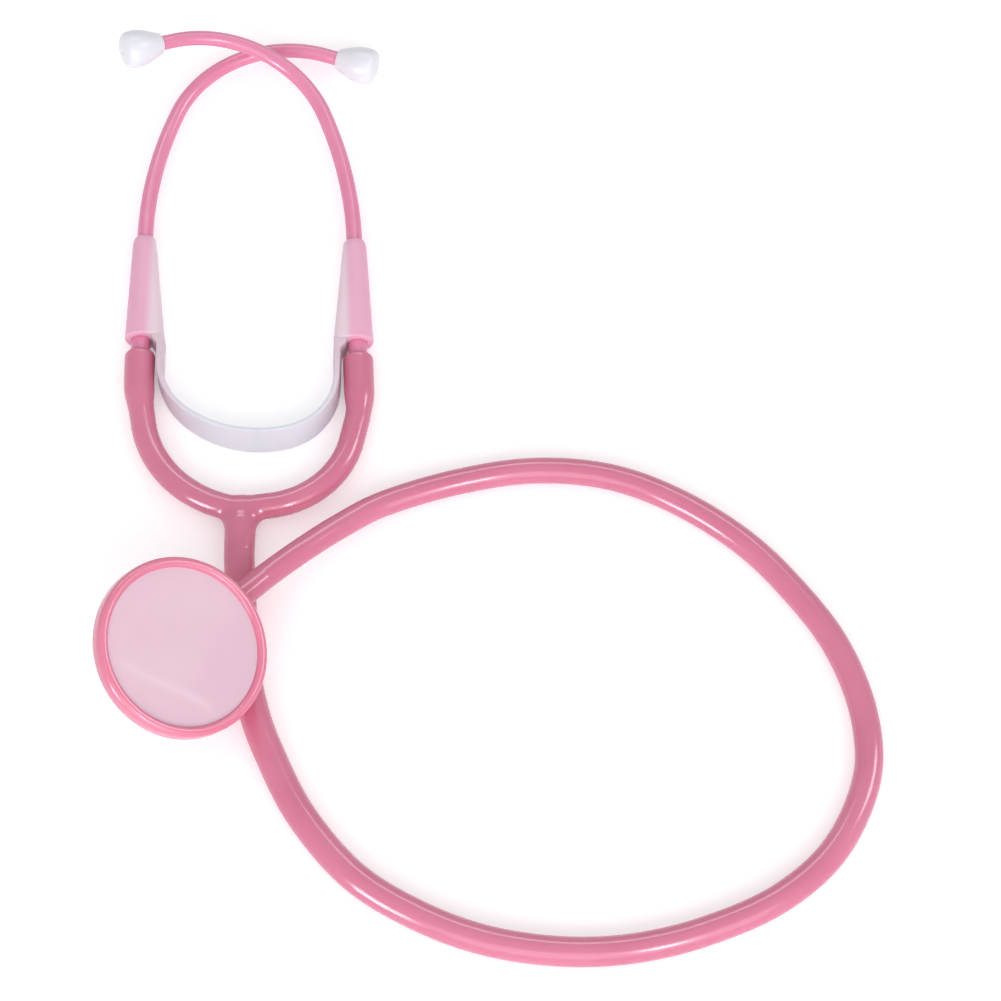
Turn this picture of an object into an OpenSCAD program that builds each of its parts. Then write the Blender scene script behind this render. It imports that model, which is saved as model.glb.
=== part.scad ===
// Toy stethoscope lying on a table, its two ear tubes crossed by the spring strap.
// Millimetres, +Z up. X runs across the headset and Y from the long tube to the ear tips.

/* [Y tubing] */
// Outer diameter of the two soft arms
arm_d = 7.2; // [6:0.1:9]
// Bore of the arms and the branches
arm_bore_d = 3.8; // [3.6:0.1:4.5]
// Outer diameter of the swollen end of each arm
socket_d = 8.8; // [8:0.1:10.5]
// Length of the swollen end of each arm
socket_len = 11.4; // [10:0.2:13]
// Length over which an arm swells to its socket
socket_flare = 4; // [2:0.5:5]
// Depth that an ear tube is pushed into its arm
socket_depth = 9; // [6:0.5:11]
// Gap between the foot of an ear tube and the bottom of its socket
socket_gap = 0.3; // [0.3:0.1:1]
// Outer diameter of the stem below the junction
stem_d = 8.6; // [7.5:0.1:10]
// Diameter at which the stem starts inside the branches
stem_root_d = 5; // [4.5:0.1:6]
// Bore of the stem
stem_bore_d = 3.2; // [2.4:0.1:3.4]
// Length of the stem from the junction's centre
stem_len = 14; // [12:0.5:18]
// Length of each branch that is part of the junction
branch_len = 9; // [8.5:0.5:12]
// Bend radius at the top of the Y, where its two branches start
branch_r = 15; // [12:0.5:18]
// Rise of the left branch after that bend, in degrees
left_rise = 17; // [12:0.5:20]
// Rise of the right branch after that bend, in degrees
right_rise = 8; // [5:0.5:12]
// Radius of the web between a branch and the stem
web_r = 4; // [3:0.5:5]
// Thickness of that web
web_t = 4.4; // [3:0.2:6]
// Straight run before the left arm's bend
left_arm_run = 0.9; // [0.5:0.1:3]
// Straight run before the right arm's bend
right_arm_run = 6.2; // [3:0.1:6.6]
// Bend radius of the left arm
left_arm_bend = 35; // [30:0.5:38]
// Bend radius of the right arm
right_arm_bend = 28; // [26:0.5:36]
// Straight end of the left arm, socket included
left_arm_end = 15.6; // [15.5:0.1:24]
// Straight end of the right arm, socket included
right_arm_end = 18.6; // [17:0.1:26]
// Inward lean of the left sleeve in degrees
left_lean = -0.5; // [-3:0.1:5]
// Inward lean of the right sleeve in degrees
right_lean = 2.7; // [-3:0.1:5]

/* [Spring band] */
// Width of the strap, which stands on its edge
strap_w = 9.4; // [9.2:0.1:12]
// Thickness of the strap
strap_t = 2; // [1.2:0.1:2.6]
// Distance from the junction's centre to the middle of the strap
strap_rise = 21.6; // [16:0.1:25]
// Radius of the strap's left corner
strap_left_r = 22; // [14:0.5:23]
// Radius of the strap's right corner
strap_right_r = 18; // [14:0.5:20]
// How much wider the strap's flat bottom curves than a half circle across to its far side
strap_flat = 3.5; // [1:0.1:15]
// Shift of the strap's bottom to the right
strap_shift = 3.5; // [0:0.1:4]
// Gap between the strap and an arm's socket
strap_gap = 0.4; // [0.3:0.1:1]
// Parting line between the strap and the fin of a sleeve
strap_parting = 0.3; // [0.2:0.1:0.6]
// Length of a sleeve
sleeve_len = 33.5; // [28:0.5:40]
// Diameter of a sleeve at its lower end
sleeve_low_d = 9; // [8:0.1:9.2]
// Diameter of a sleeve below its rounded top
sleeve_top_d = 7; // [6.4:0.1:8]
// Diameter of the lip at the top of a sleeve
sleeve_lip_d = 5.2; // [5:0.1:6]
// Length of a sleeve's rounded top
sleeve_round = 4; // [2:0.5:6]
// Bare ear tube between an arm and its sleeve
sleeve_gap = 4.2; // [2:0.1:6]
// Width of the sleeve's fin at its top end
fin_top_w = 5; // [4:0.2:6.4]

/* [Ear tubes] */
// Diameter of an ear tube in its arm
ear_low_d = 5.4; // [5:0.1:6]
// Diameter of an ear tube where it leaves its sleeve
ear_top_d = 4.6; // [4.4:0.1:4.8]
// Diameter of an ear tube at its ear tip
ear_tip_d = 4.2; // [3.8:0.1:4.3]
// Wall of an ear tube
ear_wall = 1.1; // [0.8:0.1:1.4]
// Straight length above the sleeve
ear_straight = 0.5; // [0.5:0.5:10]
// Radius of the long bend
ear_long_r = 120; // [90:1:150]
// Angle of the long bend
ear_long_angle = 21; // [15:0.5:28]
// Radius of the tight bend
ear_tight_r = 34; // [28:0.5:40]
// Angle of the tight bend
ear_tight_angle = 88; // [75:0.5:95]
// Straight length before the ear tip
ear_end = 4; // [2:0.5:10]
// Upward turn of the left ear tube in its sleeve, in degrees
left_turn = 0.6; // [0.6:0.1:2]
// Upward turn of the right ear tube in its sleeve, in degrees
right_turn = 16; // [16:0.5:18]
// Radial clearance of an ear tube in its sleeve and its arm
turn_clearance = 0.06; // [0.03:0.01:0.1]

/* [Ear tips] */
// Length of an ear tip
tip_len = 12.6; // [10:0.2:15]
// Largest diameter of an ear tip
tip_d = 10.2; // [9:0.1:10.4]
// Diameter of an ear tip where the tube enters
tip_neck_d = 6; // [5.6:0.1:7]
// Depth that the ear tube is pushed into its tip
tip_depth = 6; // [4:0.5:8]
// Sound hole through the far end of an ear tip
tip_hole_d = 2.4; // [1.5:0.1:3.2]

/* [Chest piece] */
// Outer diameter of the retaining ring
ring_d = 48.8; // [48:0.2:56]
// Opening of the retaining ring
ring_open_d = 42.4; // [38:0.2:42.8]
// Height of the retaining ring
ring_h = 4.8; // [4.5:0.1:7]
// Radius of the ring's rounded shoulder
ring_round = 2; // [1:0.1:2.2]
// Height of the ring's crest above the diaphragm
ring_lip = 1.2; // [0.8:0.1:1.8]
// Wall of the retaining ring beside the body
ring_wall = 1.7; // [1.2:0.1:2.2]
// Thickness of the diaphragm
diaphragm_t = 0.6; // [0.3:0.1:1]
// Depth of the body behind the ring
body_depth = 10.6; // [9.8:0.1:12]
// Step in from the ring's outside to the side of the body
body_step = 2.4; // [2.2:0.1:4]
// Diameter of the body's flat back
back_d = 20; // [14:0.5:26]
// Wall of the cup behind the diaphragm
cup_wall = 2.2; // [1.6:0.1:3]
// Clearance between the ring, the diaphragm and the body
seat_clearance = 0.1; // [0.05:0.05:0.3]
// Depth of the stem's axis below the ring's crest
stem_depth = 10.5; // [10:0.1:12]
// Diameter of the boss that carries the stem
boss_d = 8; // [7.4:0.1:9]
// Reach of that boss past the widest part of the body's side
boss_len = 0.9; // [0.6:0.1:3]
// Outer diameter of the stem that the long tube is pushed on
spigot_d = 4.6; // [4:0.1:5]
// Length of that stem
spigot_len = 11; // [8:0.5:12]
// Bore of that stem
spigot_bore_d = 2.4; // [1.5:0.1:3]
// Radial clearance of the stem in the long tube
spigot_clearance = 0.08; // [0.03:0.01:0.1]
// Gap between the boss and the end of the long tube
boss_gap = 0.3; // [0.3:0.1:0.6]

/* [Long tube] */
// Diameter of the long tube at the stem of the Y
hose_start_d = 8.5; // [7.4:0.1:9]
// Diameter of the long tube at the chest piece
hose_end_d = 7; // [6.4:0.1:7.4]
// Length of the straight socket end on the chest piece's stem
hose_socket_len = 13; // [12:0.5:16]

/* [Placement] */
// Place of the junction's centre along X
junction_x = 0.3; // [-5:0.1:5]
// Place of the junction's centre along Y
junction_y = -38.9; // [-45:0.1:-30]
// Place of the chest piece's stem axis from the junction along X
chest_x = -16.5; // [-20:0.1:-14]
// Place of the chest piece's stem axis from the junction along Y
chest_y = -50.9; // [-56:0.1:-48]
// Height of the chest piece's stem axis above the table
chest_z = 18.4; // [18.4:0.1:24]
// Direction of the chest piece's stem, in degrees from +X towards +Y
chest_heading = 48; // [46:0.5:50]
// Downward dip of that stem in degrees
chest_dip = 12; // [9:0.5:12]
// Roll of the chest piece about its stem in degrees
chest_roll = 28.5; // [20:0.5:28.5]

/* [Hidden] */
$fn = 64;

LEFT = -1;
RIGHT = 1;
SIDES = [LEFT, RIGHT];
// How far a cut runs past the face that it opens
cut = 0.5;
// Height of an ear tip's domed end as a share of its radius
TIP_DOME = 0.62;
// Rounding of the ring's inner edge as a share of its lip
LIP_ROUND = 0.7;
// How far one stretch of a tube runs into the wider stretch before it
lap = 0.3;
// How much an arm narrows where its straight end becomes its bend
arm_step = 0.1;
// How far a web runs into the branch and the stem that it joins
web_sink = 1.2;

// The strap stands on the table, so its middle sets the height of the headset
head_z = strap_w / 2;
junction = [junction_x, junction_y, head_z];

function of_side(side, left, right) = side == LEFT ? left : right;
function run(side) = of_side(side, left_arm_run, right_arm_run);
function bend(side) = of_side(side, left_arm_bend, right_arm_bend);
function arm_end(side) = of_side(side, left_arm_end, right_arm_end);
function lean(side) = of_side(side, left_lean, right_lean);
function rise(side) = of_side(side, left_rise, right_rise);
function turn(side) = of_side(side, left_turn, right_turn);

// A branch rises from the top of the Y, runs straight, and bends round to its sleeve, along Y
function heading(angle) = [cos(angle), sin(angle)];
function outward(angle) = [sin(angle), -cos(angle)];
function sweep(side) = 90 + lean(side);
function rise_len(side) = branch_r * rise(side) * PI / 180;
function split(side) =
  rise(side) + (branch_len - rise_len(side) - run(side)) / bend(side) * 180 / PI;
function run_start(side) = [0, branch_r] + branch_r * outward(rise(side));
function bend_start(side) = run_start(side) + run(side) * heading(rise(side));
function bend_centre(side) = bend_start(side) - bend(side) * outward(rise(side));
function mouth(side) =
  bend_centre(side) + bend(side) * outward(sweep(side)) + arm_end(side) * heading(sweep(side));
function sleeve_foot(side) = mouth(side) + sleeve_gap * heading(sweep(side));

// The strap passes each socket with its gap, and ends level with the lower end of each sleeve
strap_offset = socket_d / 2 + strap_gap + strap_t / 2;
fin_reach = strap_offset + strap_t / 2;
strap_left_x = -mouth(LEFT)[0] + strap_offset;
strap_right_x = mouth(RIGHT)[0] - strap_offset;
strap_x = (strap_left_x + strap_right_x) / 2;
strap_half = (strap_right_x - strap_left_x) / 2;
function corner_r(side) = of_side(side, strap_left_r, strap_right_r);
function corner_x(side) = strap_half - corner_r(side);
// Radius of the strap's flat bottom
bottom_r = strap_half + strap_shift + strap_flat;
// Angle of the strap's bottom at which a corner takes over, and the height of that corner's centre
function corner_angle(side) =
  asin((corner_x(side) - side * strap_shift) / (bottom_r - corner_r(side)));
function corner_y(side) =
  strap_rise + bottom_r - (bottom_r - corner_r(side)) * cos(corner_angle(side));
STRAP_STEPS = 20;
// A sleeve that leans inwards brings the foot of its fin down towards the strap
function strap_top(side) =
  sleeve_foot(side)[1] - strap_parting - fin_reach * sin(max(0, lean(side)));

// Chest piece heights, measured along its axis from the axis of its stem
crest_z = stem_depth;
diaphragm_z = crest_z - ring_lip;
rim_z = diaphragm_z - diaphragm_t;
ring_low_z = crest_z - ring_h;
back_z = ring_low_z - body_depth;
ring_r = ring_d / 2;
side_r = ring_r - body_step;
boss_reach = side_r + boss_len;
rim_r = ring_r - ring_wall - seat_clearance;
chest = junction + [chest_x, chest_y, chest_z - head_z];
hose_socket_start = boss_reach + boss_gap;
hose_socket_end = hose_socket_start + hose_socket_len;

// Route of the long tube from the junction's centre: x, y and the height of its underside
HOSE_POINTS = [
  [1, -28.5, 0.1], [2, -43.5, 0], [5, -59.5, 0], [10, -73.5, 0], [19, -91.5, 0], [33, -108.5, 0],
  [50, -119.5, 0], [68, -126.5, 0], [88, -129.5, 0], [107, -128.5, 0], [126, -123.5, 0],
  [145, -114.5, 0], [160, -100.5, 0], [169, -80.5, 0], [169, -61.5, 0], [163, -42.5, 0],
  [153, -26.5, 0], [139, -10.5, 0], [121, 2.5, 0], [102, 10.5, 0], [81, 12.5, 0], [60, 9, 0.1],
  [40, 2, 0.8], [28, -6, 2.8], [17, -15.5, 5.6]
];
HOSE_SIDES = 12;
HOSE_STEPS = 3;

function unit(v) = v / norm(v);
chest_dir = [
  cos(chest_dip) * cos(chest_heading),
  cos(chest_dip) * sin(chest_heading),
  -sin(chest_dip)
];
hose_from = junction - [0, stem_len, 0];
hose_to = chest + hose_socket_end * chest_dir;
hose_lead = 12;
hose_count = len(HOSE_POINTS);
function hose_r(share) = (hose_start_d + (hose_end_d - hose_start_d) * share) / 2;
function hose_laid(i) =
  let (p = HOSE_POINTS[i], r = hose_r((i + 1) / (hose_count + 1)))
  [junction_x + p[0], junction_y + p[1], p[2] + r];
// The route's own points, led in and out straight along the two fittings
hose_route = concat(
  [hose_from + [0, hose_lead, 0], hose_from],
  [for (i = [0 : hose_count - 1]) hose_laid(i)],
  [hose_to, hose_to - hose_lead * chest_dir]
);
hose_spans = len(hose_route) - 3;

// Point of a smooth curve through b and c, with a before and d after them
function curve(a, b, c, d, t) =
  0.5 * (2 * b + (c - a) * t + (2 * a - 5 * b + 4 * c - d) * t * t + (3 * b - a - 3 * c + d) * t * t * t);
hose_line = concat(
  [
    for (i = [0 : hose_spans - 1], j = [0 : HOSE_STEPS - 1])
      curve(hose_route[i], hose_route[i + 1], hose_route[i + 2], hose_route[i + 3], j / HOSE_STEPS)
  ],
  [hose_to]
);
hose_last = len(hose_line) - 1;
function hose_dir(i) =
  i == 0 ? [0, -1, 0] : i == hose_last ? -chest_dir : unit(hose_line[i + 1] - hose_line[i - 1]);
function hose_ring(i) =
  let (
    d = hose_dir(i),
    across = unit(cross(d, [0, 0, 1])),
    upward = cross(across, d),
    r = hose_r(i / hose_last)
  )
  [
    for (k = [0 : HOSE_SIDES - 1])
      let (a = 360 * k / HOSE_SIDES) hose_line[i] + r * (cos(a) * across + sin(a) * upward)
  ];

PVC = [0.85, 0.47, 0.60];
RIGID_PINK = [0.90, 0.53, 0.68];
RING_PINK = [0.96, 0.56, 0.69];
CLEAR = [0.90, 0.86, 0.92];
WHITE = [0.94, 0.94, 0.97];
MEMBRANE = [0.91, 0.79, 0.85];

// Frame of one side of the headset: +X outwards from the junction, +Y towards the ear tips
module on_side(side) {
  translate(junction)
    if (side == LEFT) mirror([1, 0, 0]) children();
    else children();
}

// Frame at the mouth of an arm, with +Y along the ear tube
module at_mouth(side) {
  on_side(side) translate(mouth(side)) rotate(lean(side)) children();
}

module at_sleeve(side) {
  at_mouth(side) translate([0, sleeve_gap, 0]) children();
}

// Turns a shape made along +Z to lie along +Y
module along_y() {
  rotate([-90, 0, 0]) children();
}

// Turns a shape made along +Z to lie along +X
module along_x() {
  rotate([0, 90, 0]) children();
}

// A bend that starts at the origin along +Y and turns towards -X, with a lap before its start
module bent_rod(radius, angle, d) {
  before = lap / radius * 180 / PI;
  translate([-radius, 0, 0]) rotate(-before)
    rotate_extrude(angle = angle + before) translate([radius, 0]) circle(d = d);
}

module after_bend(radius, angle) {
  translate([radius * (cos(angle) - 1), radius * sin(angle), 0]) rotate(angle) children();
}

// Frame where the ear tube leaves its sleeve, turned about the sleeve's axis
module at_ear_tube(side) {
  at_sleeve(side) translate([0, sleeve_len, 0]) rotate([0, turn(side), 0]) children();
}

module at_ear_tip(side) {
  at_ear_tube(side)
    translate([0, ear_straight, 0])
      after_bend(ear_long_r, ear_long_angle)
        after_bend(ear_tight_r, ear_tight_angle)
          translate([0, ear_end, 0]) children();
}

// The tube narrows a little from each stretch to the next: long bend, tight bend, straight end
function ear_stretch_d(i) = ear_top_d + (ear_tip_d - ear_top_d) * i / 3;

// The tube's run above its shank, with its diameter less a given amount all along
module ear_run(less, extra) {
  translate([0, ear_straight, 0]) {
    bent_rod(ear_long_r, ear_long_angle, ear_stretch_d(1) - less);
    after_bend(ear_long_r, ear_long_angle) {
      bent_rod(ear_tight_r, ear_tight_angle, ear_stretch_d(2) - less);
      after_bend(ear_tight_r, ear_tight_angle)
        along_y() translate([0, 0, -lap])
          cylinder(h = lap + ear_end + tip_depth + extra, d = ear_stretch_d(3) - less);
    }
  }
}

// The tube's shank: straight in the arm, tapering through the sleeve, straight above it
module ear_shank(less, extra) {
  foot = sleeve_gap + socket_depth;
  along_y() {
    translate([0, 0, -foot - extra]) cylinder(h = foot + extra, d = ear_low_d - less);
    cylinder(h = sleeve_len, d1 = ear_low_d - less, d2 = ear_top_d - less);
    translate([0, 0, sleeve_len]) cylinder(h = ear_straight, d = ear_top_d - less);
  }
}

module ear_tube(side) {
  difference() {
    union() {
      at_ear_tube(side) ear_run(0, 0);
      at_sleeve(side) ear_shank(0, 0);
    }
    at_ear_tube(side) ear_run(2 * ear_wall, cut);
    at_sleeve(side) ear_shank(2 * ear_wall, cut);
  }
}

// A tulip: narrow at the tube, widest near a domed far end
module ear_tip(side) {
  dome = tip_d / 2 * TIP_DOME;
  flare = tip_len - dome;
  neck_r = tip_neck_d / 2;
  wide_r = tip_d / 2;
  outline = concat(
    [[0, 0], [neck_r, 0]],
    [for (t = [0.1 : 0.1 : 1]) [neck_r + (wide_r - neck_r) * (1 - cos(180 * t)) / 2, flare * t]],
    [for (a = [9 : 9 : 81]) [wide_r * cos(a), flare + dome * sin(a)]],
    [[0, tip_len]]
  );
  at_ear_tip(side) along_y() difference() {
    rotate_extrude() polygon(outline);
    translate([0, 0, -cut]) cylinder(h = tip_depth + cut, d = ear_tip_d);
    cylinder(h = tip_len + cut, d = tip_hole_d);
  }
}

// A tapered sleeve with a rounded top, and the fin that grows into the strap
module sleeve(side) {
  low_r = sleeve_low_d / 2;
  top_r = sleeve_top_d / 2;
  lip_r = sleeve_lip_d / 2;
  shoulder = sleeve_len - sleeve_round;
  outline = concat(
    [[0, 0], [low_r, 0], [top_r, shoulder]],
    [for (a = [15 : 15 : 90]) [lip_r + (top_r - lip_r) * cos(a), shoulder + sleeve_round * sin(a)]],
    [[0, sleeve_len]]
  );
  low_bore_d = ear_low_d + 2 * turn_clearance;
  top_bore_d = ear_top_d + 2 * turn_clearance;
  at_sleeve(side) difference() {
    union() {
      along_y() rotate_extrude() polygon(outline);
      intersection() {
        translate([0, 0, -strap_w / 2])
          linear_extrude(strap_w)
            polygon([[0, 0], [-fin_reach, 0], [-top_r, shoulder], [0, shoulder]]);
        rotate([0, -90, 0]) linear_extrude(fin_reach + cut) polygon([
          [-strap_w / 2, 0], [strap_w / 2, 0], [fin_top_w / 2, shoulder], [-fin_top_w / 2, shoulder]
        ]);
      }
    }
    along_y() cylinder(h = sleeve_len, d1 = low_bore_d, d2 = top_bore_d);
    along_y() translate([0, 0, -cut]) cylinder(h = 2 * cut, d = low_bore_d);
    along_y() translate([0, 0, sleeve_len - cut]) cylinder(h = 2 * cut, d = top_bore_d);
  }
}

// One side of the strap's U at a distance from its middle line, from its bottom to its shoulder
function strap_edge(side, off) = concat(
  [
    for (i = [0 : STRAP_STEPS])
      let (a = corner_angle(side) * i / STRAP_STEPS, r = bottom_r + off)
      [strap_shift + side * r * sin(a), strap_rise + bottom_r - r * cos(a)]
  ],
  [
    for (i = [1 : STRAP_STEPS])
      let (
        a = corner_angle(side) + (90 - corner_angle(side)) * i / STRAP_STEPS,
        r = corner_r(side) + off
      )
      [side * (corner_x(side) + r * sin(a)), corner_y(side) - r * cos(a)]
  ],
  [[side * (strap_half + off), strap_top(side)]]
);

function backwards(list) = [for (i = [len(list) - 1 : -1 : 0]) list[i]];
function past_first(list) = [for (i = [1 : len(list) - 1]) list[i]];

module spring_strap() {
  half_t = strap_t / 2;
  outline = concat(
    strap_edge(RIGHT, half_t),
    backwards(strap_edge(RIGHT, -half_t)),
    past_first(strap_edge(LEFT, -half_t)),
    backwards(past_first(strap_edge(LEFT, half_t)))
  );
  color(CLEAR) translate(junction + [strap_x, 0, -strap_w / 2])
    linear_extrude(strap_w) polygon(outline);
}

// The bend of an arm between two headings, seen from the junction
module arm_bend(side, d, from, to) {
  translate(bend_centre(side)) rotate(from - 90)
    rotate_extrude(angle = to - from) translate([bend(side), 0]) circle(d = d);
}

module arm(side) {
  swell = arm_end(side) - socket_len;
  chamfer = (socket_d - arm_d) / 2;
  end_d = arm_d + arm_step;
  over = lap / bend(side) * 180 / PI;
  outline = [
    [0, 0], [end_d / 2, 0], [end_d / 2, swell - socket_flare], [socket_d / 2, swell],
    [socket_d / 2, arm_end(side) - chamfer], [socket_d / 2 - chamfer, arm_end(side)], [0, arm_end(side)]
  ];
  difference() {
    union() {
      on_side(side) arm_bend(side, arm_d, split(side), sweep(side) + over);
      at_mouth(side) translate([0, -arm_end(side), 0]) along_y() rotate_extrude() polygon(outline);
    }
    on_side(side) arm_bend(side, arm_bore_d - arm_step, split(side) - over, sweep(side) + over);
    at_mouth(side) translate([0, -arm_end(side), 0])
      along_y() cylinder(h = arm_end(side), d = arm_bore_d);
    at_mouth(side) translate([0, -socket_depth - socket_gap, 0])
      along_y() cylinder(h = socket_depth + socket_gap + cut, d = ear_low_d + 2 * turn_clearance);
  }
}

// The bend at the top of the Y, and the stem that widens below it
module junction_middle(branch_d, root_d, low_d, extra) {
  along_stem = [90, 0, 0];
  translate([0, branch_r, 0]) rotate(-90 - left_rise)
    rotate_extrude(angle = left_rise + right_rise) translate([branch_r, 0]) circle(d = branch_d);
  rotate(along_stem) cylinder(h = branch_len / 2, d1 = root_d, d2 = low_d);
  rotate(along_stem) translate([0, 0, branch_len / 2])
    cylinder(h = stem_len - branch_len / 2 + extra, d = low_d);
}

// A branch's straight run, and the start of its arm's bend
module junction_branch(side, d, extra) {
  translate(run_start(side)) rotate(rise(side)) translate([-lap, 0, 0])
    along_x() cylinder(h = run(side) + 2 * lap, d = d + arm_step);
  arm_bend(side, d, rise(side), split(side) + extra);
}

module y_junction() {
  web_x = stem_d / 2 - web_sink;
  web_y = web_sink - arm_d / 2;
  color(PVC) difference() {
    union() {
      translate(junction) junction_middle(arm_d + 2 * arm_step, stem_root_d, stem_d, 0);
      for (side = SIDES) on_side(side) junction_branch(side, arm_d, 0);
      for (side = SIDES)
        on_side(side) translate([web_x, web_y, -web_t / 2]) linear_extrude(web_t) difference() {
          translate([0, -web_r]) square(web_r);
          translate([web_r, -web_r]) circle(r = web_r);
        }
    }
    translate(junction)
      junction_middle(arm_bore_d + 2 * arm_step, stem_bore_d, stem_bore_d, cut);
    for (side = SIDES) on_side(side) junction_branch(side, arm_bore_d, cut);
  }
}

// One tapering tube swept along its line, with flat ends
module main_tube() {
  points = [for (i = [0 : hose_last]) each hose_ring(i)];
  walls = [
    for (i = [0 : hose_last - 1], k = [0 : HOSE_SIDES - 1])
      let (
        a = i * HOSE_SIDES + k,
        b = i * HOSE_SIDES + (k + 1) % HOSE_SIDES,
        c = a + HOSE_SIDES,
        d = b + HOSE_SIDES
      )
      each [[a, c, b], [b, c, d]]
  ];
  first = [for (k = [0 : HOSE_SIDES - 1]) k];
  last = [for (k = [HOSE_SIDES - 1 : -1 : 0]) hose_last * HOSE_SIDES + k];
  color(PVC) polyhedron(points, concat(walls, [first, last]));
}

// Frame of the chest piece: +X along its stem, +Z out of the diaphragm
module at_chest() {
  translate(chest)
    rotate([0, 0, chest_heading]) rotate([0, chest_dip, 0]) rotate([chest_roll, 0, 0]) children();
}

module hose_socket() {
  color(PVC) at_chest() along_x() translate([0, 0, hose_socket_start]) difference() {
    cylinder(h = hose_socket_len, d = hose_end_d);
    translate([0, 0, -cut])
      cylinder(h = spigot_len + cut, d = spigot_d + 2 * spigot_clearance);
  }
}

// A cup with a rim for the diaphragm, a rounded back and the stem for the long tube
module chest_body() {
  back_r = back_d / 2;
  low_z = ring_low_z - seat_clearance;
  crown = [
    for (a = [0 : 10 : 90])
      [back_r + (side_r - back_r) * cos(a), low_z - (low_z - back_z) * sin(a)]
  ];
  cup_r = rim_r - cup_wall;
  cup_low = back_z + cup_wall;
  cup = [for (a = [0 : 15 : 90]) [cup_r * cos(a), rim_z - (rim_z - cup_low) * sin(a)]];
  outside = concat([[0, rim_z], [rim_r, rim_z], [rim_r, low_z]], crown, [[0, back_z]]);
  color(RIGID_PINK) at_chest() difference() {
    union() {
      rotate_extrude() polygon(outside);
      along_x() cylinder(h = boss_reach, d = boss_d);
      along_x() cylinder(h = boss_reach + spigot_len, d = spigot_d);
    }
    rotate_extrude() polygon(concat([[0, rim_z + cut], [cup_r, rim_z + cut]], cup));
    along_x() cylinder(h = boss_reach + spigot_len + cut, d = spigot_bore_d);
  }
}

module diaphragm() {
  color(MEMBRANE) at_chest() translate([0, 0, rim_z]) cylinder(h = diaphragm_t, r = rim_r);
}

// A rounded ring whose lip holds the diaphragm on the rim
module retaining_ring() {
  inner_r = ring_r - ring_wall;
  open_r = ring_open_d / 2;
  lip_round = ring_lip * LIP_ROUND;
  shoulder = [
    for (a = [0 : 15 : 90])
      [ring_r - ring_round + ring_round * cos(a), crest_z - ring_round + ring_round * sin(a)]
  ];
  lip = [
    for (a = [90 : 15 : 180])
      [open_r + lip_round + lip_round * cos(a), crest_z - lip_round + lip_round * sin(a)]
  ];
  outline = concat(
    [[inner_r, ring_low_z], [ring_r, ring_low_z]], shoulder, lip,
    [[open_r, diaphragm_z], [inner_r, diaphragm_z]]
  );
  color(RING_PINK) at_chest() rotate_extrude() polygon(outline);
}

module left_ear_tip() color(WHITE) ear_tip(LEFT);
module right_ear_tip() color(WHITE) ear_tip(RIGHT);
module left_ear_tube() color(RIGID_PINK) ear_tube(LEFT);
module right_ear_tube() color(RIGID_PINK) ear_tube(RIGHT);
module left_sleeve() color(CLEAR) sleeve(LEFT);
module right_sleeve() color(CLEAR) sleeve(RIGHT);
module left_arm() color(PVC) arm(LEFT);
module right_arm() color(PVC) arm(RIGHT);

left_ear_tip();
right_ear_tip();
left_ear_tube();
right_ear_tube();
left_sleeve();
right_sleeve();
spring_strap();
left_arm();
right_arm();
y_junction();
main_tube();
hose_socket();
chest_body();
diaphragm();
retaining_ring();
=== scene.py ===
# %% [markdown]
# # A toy stethoscope in smooth skins
# A pretend-play stethoscope is a handful of mouldings pushed together: a soft pink Y of tubing,
# two stiff bent ear tubes with white tips, a frosted spring band that holds the ear tubes apart,
# and a chest piece on a long loop of tube. The CAD frame already holds every solid in its place.
# This lesson gives each solid a smooth skin, worked out as a surface with numpy, and a finish.
# Sizes are written in millimetres, and become metres when a mesh is made.

import bmesh
import bpy
import numpy as np
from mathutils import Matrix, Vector


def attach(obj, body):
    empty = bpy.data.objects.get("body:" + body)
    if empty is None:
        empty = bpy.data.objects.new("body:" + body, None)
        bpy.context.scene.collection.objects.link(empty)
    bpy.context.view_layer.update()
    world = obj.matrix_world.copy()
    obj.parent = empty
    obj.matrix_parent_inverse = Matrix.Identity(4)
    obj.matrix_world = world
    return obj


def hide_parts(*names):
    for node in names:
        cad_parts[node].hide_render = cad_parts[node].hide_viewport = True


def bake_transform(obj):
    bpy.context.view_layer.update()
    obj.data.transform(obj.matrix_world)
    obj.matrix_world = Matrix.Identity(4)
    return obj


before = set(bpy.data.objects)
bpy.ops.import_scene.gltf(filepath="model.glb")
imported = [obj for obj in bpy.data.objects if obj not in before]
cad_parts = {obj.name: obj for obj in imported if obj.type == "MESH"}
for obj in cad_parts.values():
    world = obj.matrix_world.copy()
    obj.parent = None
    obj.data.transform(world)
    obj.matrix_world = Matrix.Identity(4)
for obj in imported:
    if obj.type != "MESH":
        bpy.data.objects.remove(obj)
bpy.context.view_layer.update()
scene = bpy.context.scene
MM = 0.001

# %% [markdown]
# The toy lies on a table and is seen from above its lower end, 62 degrees over the table. A long
# lens keeps the loop of tube almost free of perspective. The picture is square, so the lens
# follows from one focal length in pixels and the picture's width in pixels. A constraint could
# aim the camera; its place and turn from one angle need no second object.

# %% Camera
AIM = np.array([71.926, -33.85, 0.0])
ELEVATION = np.radians(62)
FOCAL_PIXELS = 3600
PICTURE_PIXELS = 1001
CAMERA_DISTANCE = 1000
SENSOR = 36

towards_camera = np.array([0, -np.cos(ELEVATION), np.sin(ELEVATION)])
camera_data = bpy.data.cameras.new("camera")
camera_data.sensor_width = SENSOR
camera_data.lens = SENSOR * FOCAL_PIXELS / PICTURE_PIXELS
camera = bpy.data.objects.new("camera", camera_data)
camera.location = (AIM + CAMERA_DISTANCE * towards_camera) * MM
camera.rotation_euler = (np.pi / 2 - ELEVATION, 0, 0)
scene.collection.objects.link(camera)
scene.camera = camera
print("lens", round(camera_data.lens, 2), "mm")

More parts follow.
